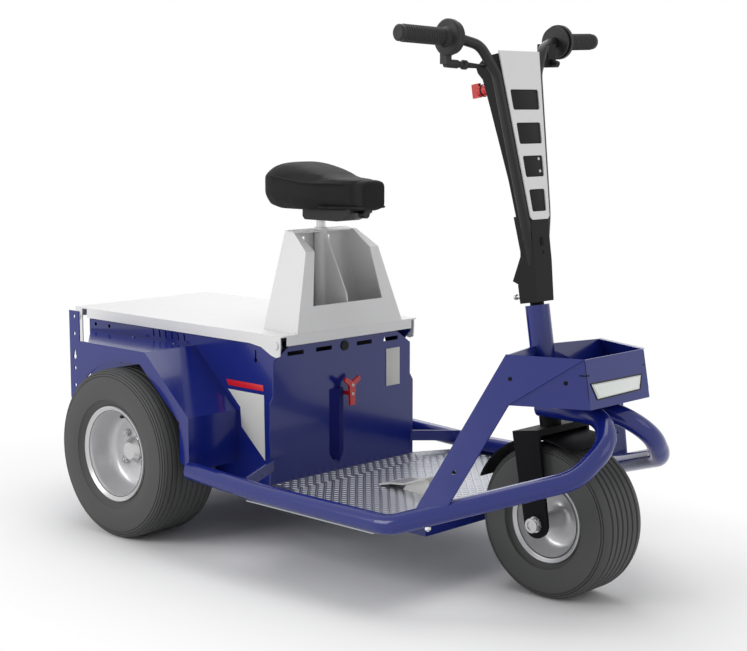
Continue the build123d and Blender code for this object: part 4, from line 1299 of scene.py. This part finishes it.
@dataclass
class LampSurround:
    """Dark gasket round the lamp and the raised inner lens.

    Attributes:
        corners: Corners of the lamp as (distance left, height), mm.
        lens_share: Width and height of the inner lens as shares of the lamp's.
        lens_middle: Height that the inner lens shrinks towards, mm.
    """
    corners: tuple[Pair, ...] = ((-93.0, 481.0), (84.0, 480.0), (72.0, 450.0), (-77.0, 448.0))
    lens_share: Pair = (0.93, 0.80)
    lens_middle: float = 465.0

    @staticmethod
    def front(y: float, z: float) -> Vector:
        """Give a point just ahead of the basket's front, which leans 18 mm in 100 mm of height."""
        return at(1169.0 + (530 - z) / 100 * 18.0 + 0.6, y, z)

    def build(self, shop: Workshop) -> None:
        """Make the gasket and the lens.

        Args:
            shop: Finishes and repeaters.
        """
        corners = [self.front(y, z) for y, z in self.corners]
        run: list[Vector] = []
        for start, end in zip(corners, corners[1:] + corners[:1]):
            run += line(start, end, 8)[:-1]
        shop.fit("lamp_gasket", tube(run + corners[:1], 0.0014), "soft_rubber", "chassis", 60)
        wide, tall = self.lens_share
        middle = self.lens_middle
        lens = [self.front(y * wide, middle + (z - middle) * tall) for y, z in self.corners]
        shop.fit("lamp_inner", prism(lens, Vector((0.0012, 0, 0.0002))), "lamp_lens", "chassis")


@dataclass
class TreadFloor:
    """Raised bars of the chequer plate.

    Attributes:
        areas: Station limits and half-width of each patch of pattern, mm.
        pitch: Distance between bars, mm.
        bar_plan: Corners of a bar's foot, mm.
        bar_crest: Length and width of its crest as shares of the foot's.
        bar_height: Its height, mm.
        spread: How much smaller than the others a bar may be.
    """
    areas: tuple[tuple[float, float, float], ...] = ((398.0, 452.0, 226.0), (466.0, 834.0, 336.0))
    pitch: float = 12.5
    bar_plan: tuple[Pair, ...] = ((6.6, 0.0), (3.4, 1.7), (-3.4, 1.7), (-6.6, 0.0), (-3.4, -1.7), (3.4, -1.7))
    bar_crest: Pair = (0.72, 0.42)
    bar_height: float = 1.3
    spread: float = 0.05

    def bar(self, work: bmesh.types.BMesh) -> None:
        """Fill a bmesh with one lens-shaped bar about the origin.

        Args:
            work: The bmesh to fill.
        """
        long, wide = self.bar_crest
        levels = (1.0, 1.0, 0.0), (long, wide, self.bar_height)
        loft(work, [[work.verts.new(Vector((x * along, y * across, height)) / 1000) for x, y in self.bar_plan]
                    for along, across, height in levels])

    def build(self, shop: Workshop) -> None:
        """Lay the bars over the floor.

        Args:
            shop: Finishes and repeaters.
        """
        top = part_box("tread_plate")[1].z
        for number, (start, end, half) in enumerate(self.areas):
            length, width = end - start, 2 * half
            columns = int(length / self.pitch) + 1
            rows = int(width / self.pitch) // 2 * 2 + 1
            middle = at((start + end) / 2, 0, 0)
            place = Matrix.Translation(Vector((middle.x, 0, top - 0.0001)))
            template = finished_mesh("tread_bar", self.bar, 20)
            bars = shop.grid.copies(f"tread_bars_{number}", template, shop.paint("chequer_aluminium"), place,
                                    Count=columns, Rows=rows, Length=length / 1000, Width=width / 1000,
                                    Turn=radians(45), Spread=self.spread)
            shop.fit(f"tread_bars_{number}", bars, "chequer_aluminium", "chassis")


@dataclass
class SteeringTrim:
    """Ribs, rivets, window inserts and small controls on the steering column.

    Places are stated as steered() takes them, and sections as (radius, distance along the axis), all in mm.

    Attributes:
        grip_end: Outer end of the left grip.
        grip_inner: Its inner end.
        grip_ribs: Ribs on each grip.
        rib_pitch: Distance between them.
        first_rib: Distance of the first one from the grip's end, m.
        rib: Section of a rib.
        rivets: Heights of the rivets in the face.
        windows: Low and high edge and half-width of each window in the face.
        sockets: Distance left, height, half-width and half-height of each socket mark on the column, painted
            near-black as shade.
        key_bezel: Section of the ring round the key switch.
        key_place: Where it sits.
        horn_button: Section of the button on the control pod.
        button_place: Where it sits, as at() takes it.
        column_screw: Section of the clamping screw behind the column.
        screw_place: Where it sits.
        washer: Section of the front axle's washers.
        washer_place: Distance of a washer from the centre plane.
    """
    grip_end: Point = (-14.0, 318.0, 1027.0)
    grip_inner: Point = (-3.0, 158.0, 1019.0)
    grip_ribs: int = 16
    rib_pitch: float = 6.6
    first_rib: float = 0.009
    rib: tuple[Pair, ...] = ((16.4, -1.5), (17.9, -0.9), (18.3, 0.0), (17.9, 0.9), (16.4, 1.5))
    rivets: Pair = (736.0, 762.0)
    windows: tuple[Point, ...] = ((866, 909, 47), (794, 839, 40.5), (724, 769, 33.5), (651, 698, 26.5))
    sockets: tuple[tuple[float, float, float, float], ...] = ((2, 588, 6, 9), (4, 564, 2.4, 3.4))
    key_bezel: tuple[Pair, ...] = ((0, 0), (13.5, 0), (13.5, 2.4), (11.5, 4.0), (7.0, 4.4), (6.4, 3.2),
                                   (0, 3.0))
    key_place: Point = (-45.0, -40.0, 919.0)
    horn_button: tuple[Pair, ...] = ((0, 0), (6.0, 0), (6.0, 5.0), (4.8, 6.8), (0, 7.4))
    button_place: Point = (883.0, 128.0, 1165.6)
    column_screw: tuple[Pair, ...] = ((0, 0), (6.5, 0), (6.5, 6), (3.2, 6.4), (3.2, 13), (6.0, 13.4),
                                      (6.0, 18), (5.2, 19), (0, 19))
    screw_place: Point = (-22.0, -21.0, 476.0)
    washer: tuple[Pair, ...] = ((10.2, 0.0), (15.5, 0.0), (15.5, 2.0), (10.2, 2.0))
    washer_place: float = 102.2

    @staticmethod
    def face(w: float) -> float:
        """Give how far the face lies ahead of the steering axis: 35 mm at its foot and 6 less at its top."""
        return 35.0 - (w - 634.0) / (990.0 - 634.0) * 6.0

    @staticmethod
    def column(w: float) -> float:
        """Give how far the column's lower front lies ahead of the steering axis."""
        return 31.4 - (632 - w) * 0.024

    def grips(self, shop: Workshop) -> None:
        """Make the ribs round both grips.

        Args:
            shop: Finishes and repeaters.
        """
        for side, hand in HANDS:
            end, inner = (steered(u, side * y, w) for u, y, w in (self.grip_end, self.grip_inner))
            template = finished_mesh("grip_rib", lathe(self.rib, Vector(), UP, 28), 50)
            place = facing(end + (inner - end).normalized() * self.first_rib, inner - end)
            ribs = shop.row.copies("grip_ribs_" + hand, template, shop.paint("soft_rubber"), place,
                                   Count=self.grip_ribs, Length=self.rib_pitch / 1000, Turn=0.0, Spread=0.0)
            shop.fit("grip_ribs_" + hand, ribs, "soft_rubber", "steering")

    def face_parts(self, shop: Workshop) -> None:
        """Make the rivets and the dark inserts seen through the windows.

        Args:
            shop: Finishes and repeaters.
        """
        for number, w in enumerate(self.rivets):
            seat = steered(self.face(w) - 2.6, 21, w)
            Fastener(f"face_rivet_{number}", seat, STEERED_AHEAD, 6.5, "steering", True,
                     "white_satin_paint").build(shop)
        for number, (low, high, half) in enumerate(self.windows):
            foot, top = half - 3.6, half - 0.6
            corners = [steered(self.face(w) - 2.9, y, w) for y, w in
                       ((-foot, low + 0.6), (foot, low + 0.6), (top, high - 0.6), (-top, high - 0.6))]
            shop.fit(f"face_insert_{number}", prism(corners, STEERED_AHEAD * 0.8, 0.0003), "black_moulding",
                     "steering")

    def build(self, shop: Workshop) -> None:
        """Make the trim.

        Args:
            shop: Finishes and repeaters.
        """
        self.grips(shop)
        self.face_parts(shop)
        for number, (y, w, half, tall) in enumerate(self.sockets):
            corners = [steered(self.column(w), y + dy, w + dw)
                       for dy, dw in ((-half, -tall), (half, -tall), (half, tall), (-half, tall))]
            # Each mark is a near-black patch: painted shade in the socket.
            shop.fit(f"column_socket_{number}", prism(corners, STEERED_AHEAD * 0.6, 0.0002), "dark_opening",
                     "steering")
        bezel = lathe(self.key_bezel, steered(*self.key_place), -STEERED_AHEAD, 28, closed=False)
        shop.fit("key_bezel", bezel, "black_moulding", "steering", 30)
        button = lathe(self.horn_button, at(*self.button_place), UP, 20, closed=False)
        shop.fit("horn_button", button, "blue_gloss_paint", "steering", 40)
        screw = lathe(self.column_screw, steered(*self.screw_place), -STEERED_AHEAD, 20, closed=False)
        shop.fit("column_screw", screw, "bright_steel", "steering", 30)
        for side, hand in HANDS:
            washer = lathe(self.washer, steered(0, side * self.washer_place, 0), Vector((0, side, 0)), 28)
            shop.fit("axle_washer_" + hand, washer, "bright_steel", "steering", 30)


# ---------------------------------------------------------------- finishes of the CAD nodes
NODE_FINISHES = {
    "blue_gloss_paint": ("battery_box", "front_panel", "floor_frame", "basket", "head_tube", "step_tube_left",
                         "step_tube_right", "fender_left", "fender_right", "legs"),
    "white_satin_paint": ("lid_cover", "seat_tower", "face_panel", "hinge_pins"),
    "black_satin_paint": ("seat_bracket", "handlebar", "transaxle", "tow_hitch"),
    "black_matt_paint": ("fork", "mudguard"),
    "black_moulding": ("panel_plug", "column_housing", "control_pod", "seat_pan"),
    "soft_rubber": ("lid_seal", "grips", "brake_guide"),
    "bright_steel": ("seat_post", "front_axle", "rear_hub_left", "rear_hub_right"),
    "polished_pedal": ("pedal",),
    "chequer_aluminium": ("tread_plate",),
    "red_moulding": ("pull_handle", "key_switch"),
    "lamp_lens": ("headlamp",),
    "battery_case": ("battery_block",),
}


def dress_nodes(paint: Palette) -> None:
    """Give every shown CAD node its finish.

    Args:
        paint: The palette of finishes.
    """
    for finish, nodes in NODE_FINISHES.items():
        for node in nodes:
            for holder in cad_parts[node].material_slots:
                holder.material = paint(finish)


# ---------------------------------------------------------------- studio
@dataclass
class Studio:
    """Floor, lights, world and camera.

    Attributes:
        floor_level: Brightness of the floor's paint.
        floor_radius: Size of the floor, m.
        shadow_reach: Half-length and half-width of the patch of floor that keeps the shadow, m.
        fade: Where the paint starts to fade into white, and over how much, as shares of the reach.
        ambient: Strength of the light from all round.
        sky: Brightness of its colour.
        lights: Name, place, target, size and power of each soft box.
        lens: Focal length, mm.
        camera_place: Place ahead of the rear axle, left of the centre plane and above the ground, m.
        camera_tilt: Degrees below level.
        camera_turn: Degrees round the upright axis.
    """
    floor_level: float = 0.93
    floor_radius: float = 14.0
    shadow_reach: Pair = (0.90, 0.52)
    fade: Pair = (0.85, 0.9)
    ambient: float = 0.50
    sky: float = 0.98
    lights: tuple[tuple[str, Point, Point, Pair, float], ...] = (
        ("overhead", (-0.3, 0.5, 3.6), (0.0, 0.0, 0.0), (2.8, 2.4), 42.0),
        ("side", (-1.2, -3.6, 2.0), (0.0, 0.0, 0.4), (2.4, 1.8), 58.0),
        ("back", (-2.2, 2.4, 2.6), (0.0, 0.0, 0.3), (2.0, 1.6), 24.0),
        ("front", (3.4, 0.6, 1.8), (0.4, 0.0, 0.3), (1.8, 1.6), 9.0),
    )
    lens: float = 75.94
    camera_place: Point = (3.0255, -2.6319, 1.0321)
    camera_tilt: float = 7.9148
    camera_turn: float = 44.0045

    def floor(self) -> None:
        """Make the pale floor that fades into the white background."""
        graph = Graph(bpy.data.materials.new("studio_floor"))
        along, across = (graph.axis(name) / reach for name, reach in zip("XY", self.shadow_reach))
        distance = (along * along + across * across) ** 0.5
        start, span = self.fade
        share = ((distance - start) / span).held()
        clouds = graph.noise(2.0, 1.0) * 0.01 + 0.5
        colour = graph.blend(clouds, (self.floor_level,) * 3, (self.floor_level * 0.99,) * 3)
        paint = graph.node("ShaderNodeBsdfDiffuse", {}, {"Color": colour}, "BSDF")
        glow = graph.node("ShaderNodeEmission", {}, {"Color": (1.0,) * 4, "Strength": 1.0}, "Emission")
        mixed = graph.node("ShaderNodeMixShader", {}, {0: share, 1: paint, 2: glow}, "Shader")
        graph.node("ShaderNodeOutputMaterial", {}, {"Surface": mixed})

        def build(work: bmesh.types.BMesh) -> None:
            """Fill the bmesh."""
            bmesh.ops.create_circle(work, cap_ends=True, radius=self.floor_radius, segments=96)

        mesh = finished_mesh("studio_floor", build)
        mesh.materials.append(graph.owner)
        ground = bpy.data.objects.new("studio_floor", mesh)
        bpy.context.scene.collection.objects.link(ground)

    def world(self) -> None:
        """Make soft light from all round before a white background."""
        graph = Graph(bpy.data.worlds.new("studio"))
        bpy.context.scene.world = graph.owner
        camera, glossy, through = (graph.node("ShaderNodeLightPath", {}, {}, f"Is {ray} Ray")
                                   for ray in ("Camera", "Glossy", "Transmission"))
        seen = camera.math("MAXIMUM", glossy).math("MAXIMUM", through)
        backdrop = "ShaderNodeBackground"
        dim, white = (graph.node(backdrop, {}, {"Color": (level, level, level, 1.0), "Strength": power})
                      for level, power in ((self.sky, self.ambient), (1.0, 1.0)))
        mixed = graph.node("ShaderNodeMixShader", {}, {0: seen, 1: dim, 2: white}, "Shader")
        graph.node("ShaderNodeOutputWorld", {}, {"Surface": mixed})

    def lamps(self) -> None:
        """Set the soft boxes."""
        for name, place, target, (width, height), power in self.lights:
            lamp = bpy.data.lights.new(name, "AREA")
            lamp.shape = "RECTANGLE"
            lamp.size = width
            lamp.size_y = height
            lamp.energy = power
            holder = bpy.data.objects.new(name, lamp)
            holder.location = place
            holder.rotation_euler = (Vector(target) - Vector(place)).to_track_quat("-Z", "Y").to_euler()
            bpy.context.scene.collection.objects.link(holder)

    def camera(self) -> None:
        """Set the camera ahead of the tug's right side."""
        lens = bpy.data.cameras.new("camera")
        lens.lens = self.lens
        lens.sensor_width = 36.0
        lens.clip_start = 0.05
        holder = bpy.data.objects.new("camera", lens)
        x, y, z = self.camera_place
        holder.location = (AXLE_X + x, y, z)
        holder.rotation_euler = (radians(90 - self.camera_tilt), 0.0, radians(self.camera_turn))
        bpy.context.scene.collection.objects.link(holder)
        bpy.context.scene.camera = holder

    def build(self) -> None:
        """Set up the whole studio with plain colour handling."""
        self.floor()
        self.world()
        self.lamps()
        self.camera()
        bpy.context.scene.view_settings.view_transform = "Standard"


def main() -> None:
    """Build every sub-assembly, then the studio."""
    logging.basicConfig(level=logging.INFO)
    shop = Workshop(Palette(), Repeater(Layout.RING), Repeater(Layout.GRID), Repeater(Layout.ROW))
    dress_nodes(shop.paint)
    rear = dict(radius=205.0, half=85.6, bead=116.5, flange=70.4, grooves=(8.5, 25.5, 42.5, 57.5))
    front = dict(radius=165.5, half=68.8, bead=90.0, flange=50.4, grooves=(8.5, 25.5, 43.0),
                 groove=(4.8, 6.5), scores=2)
    assemblies = [
        *(RibbedTyre(f"rear_tyre_{hand}", f"rear_wheel_{hand}", **rear) for _, hand in HANDS),
        RibbedTyre("front_tyre", "front_wheel", **front),
        *(DishedRim(f"rear_rim_{hand}", f"rear_wheel_{hand}", side, REAR_RIM) for side, hand in HANDS),
        DishedRim("front_rim", "front_wheel", -1, FRONT_RIM),
        *(WheelTrim(side) for side, _ in HANDS),
        Saddle(),
        PanelGraphics(),
        BodyTrim(),
        TreadFloor(),
        SteeringTrim(),
    ]
    for assembly in assemblies:
        log.info("building %s", type(assembly).__name__)
        assembly.build(shop)
    Studio().build()
    bpy.context.view_layer.update()


if __name__ == "__main__":
    main()
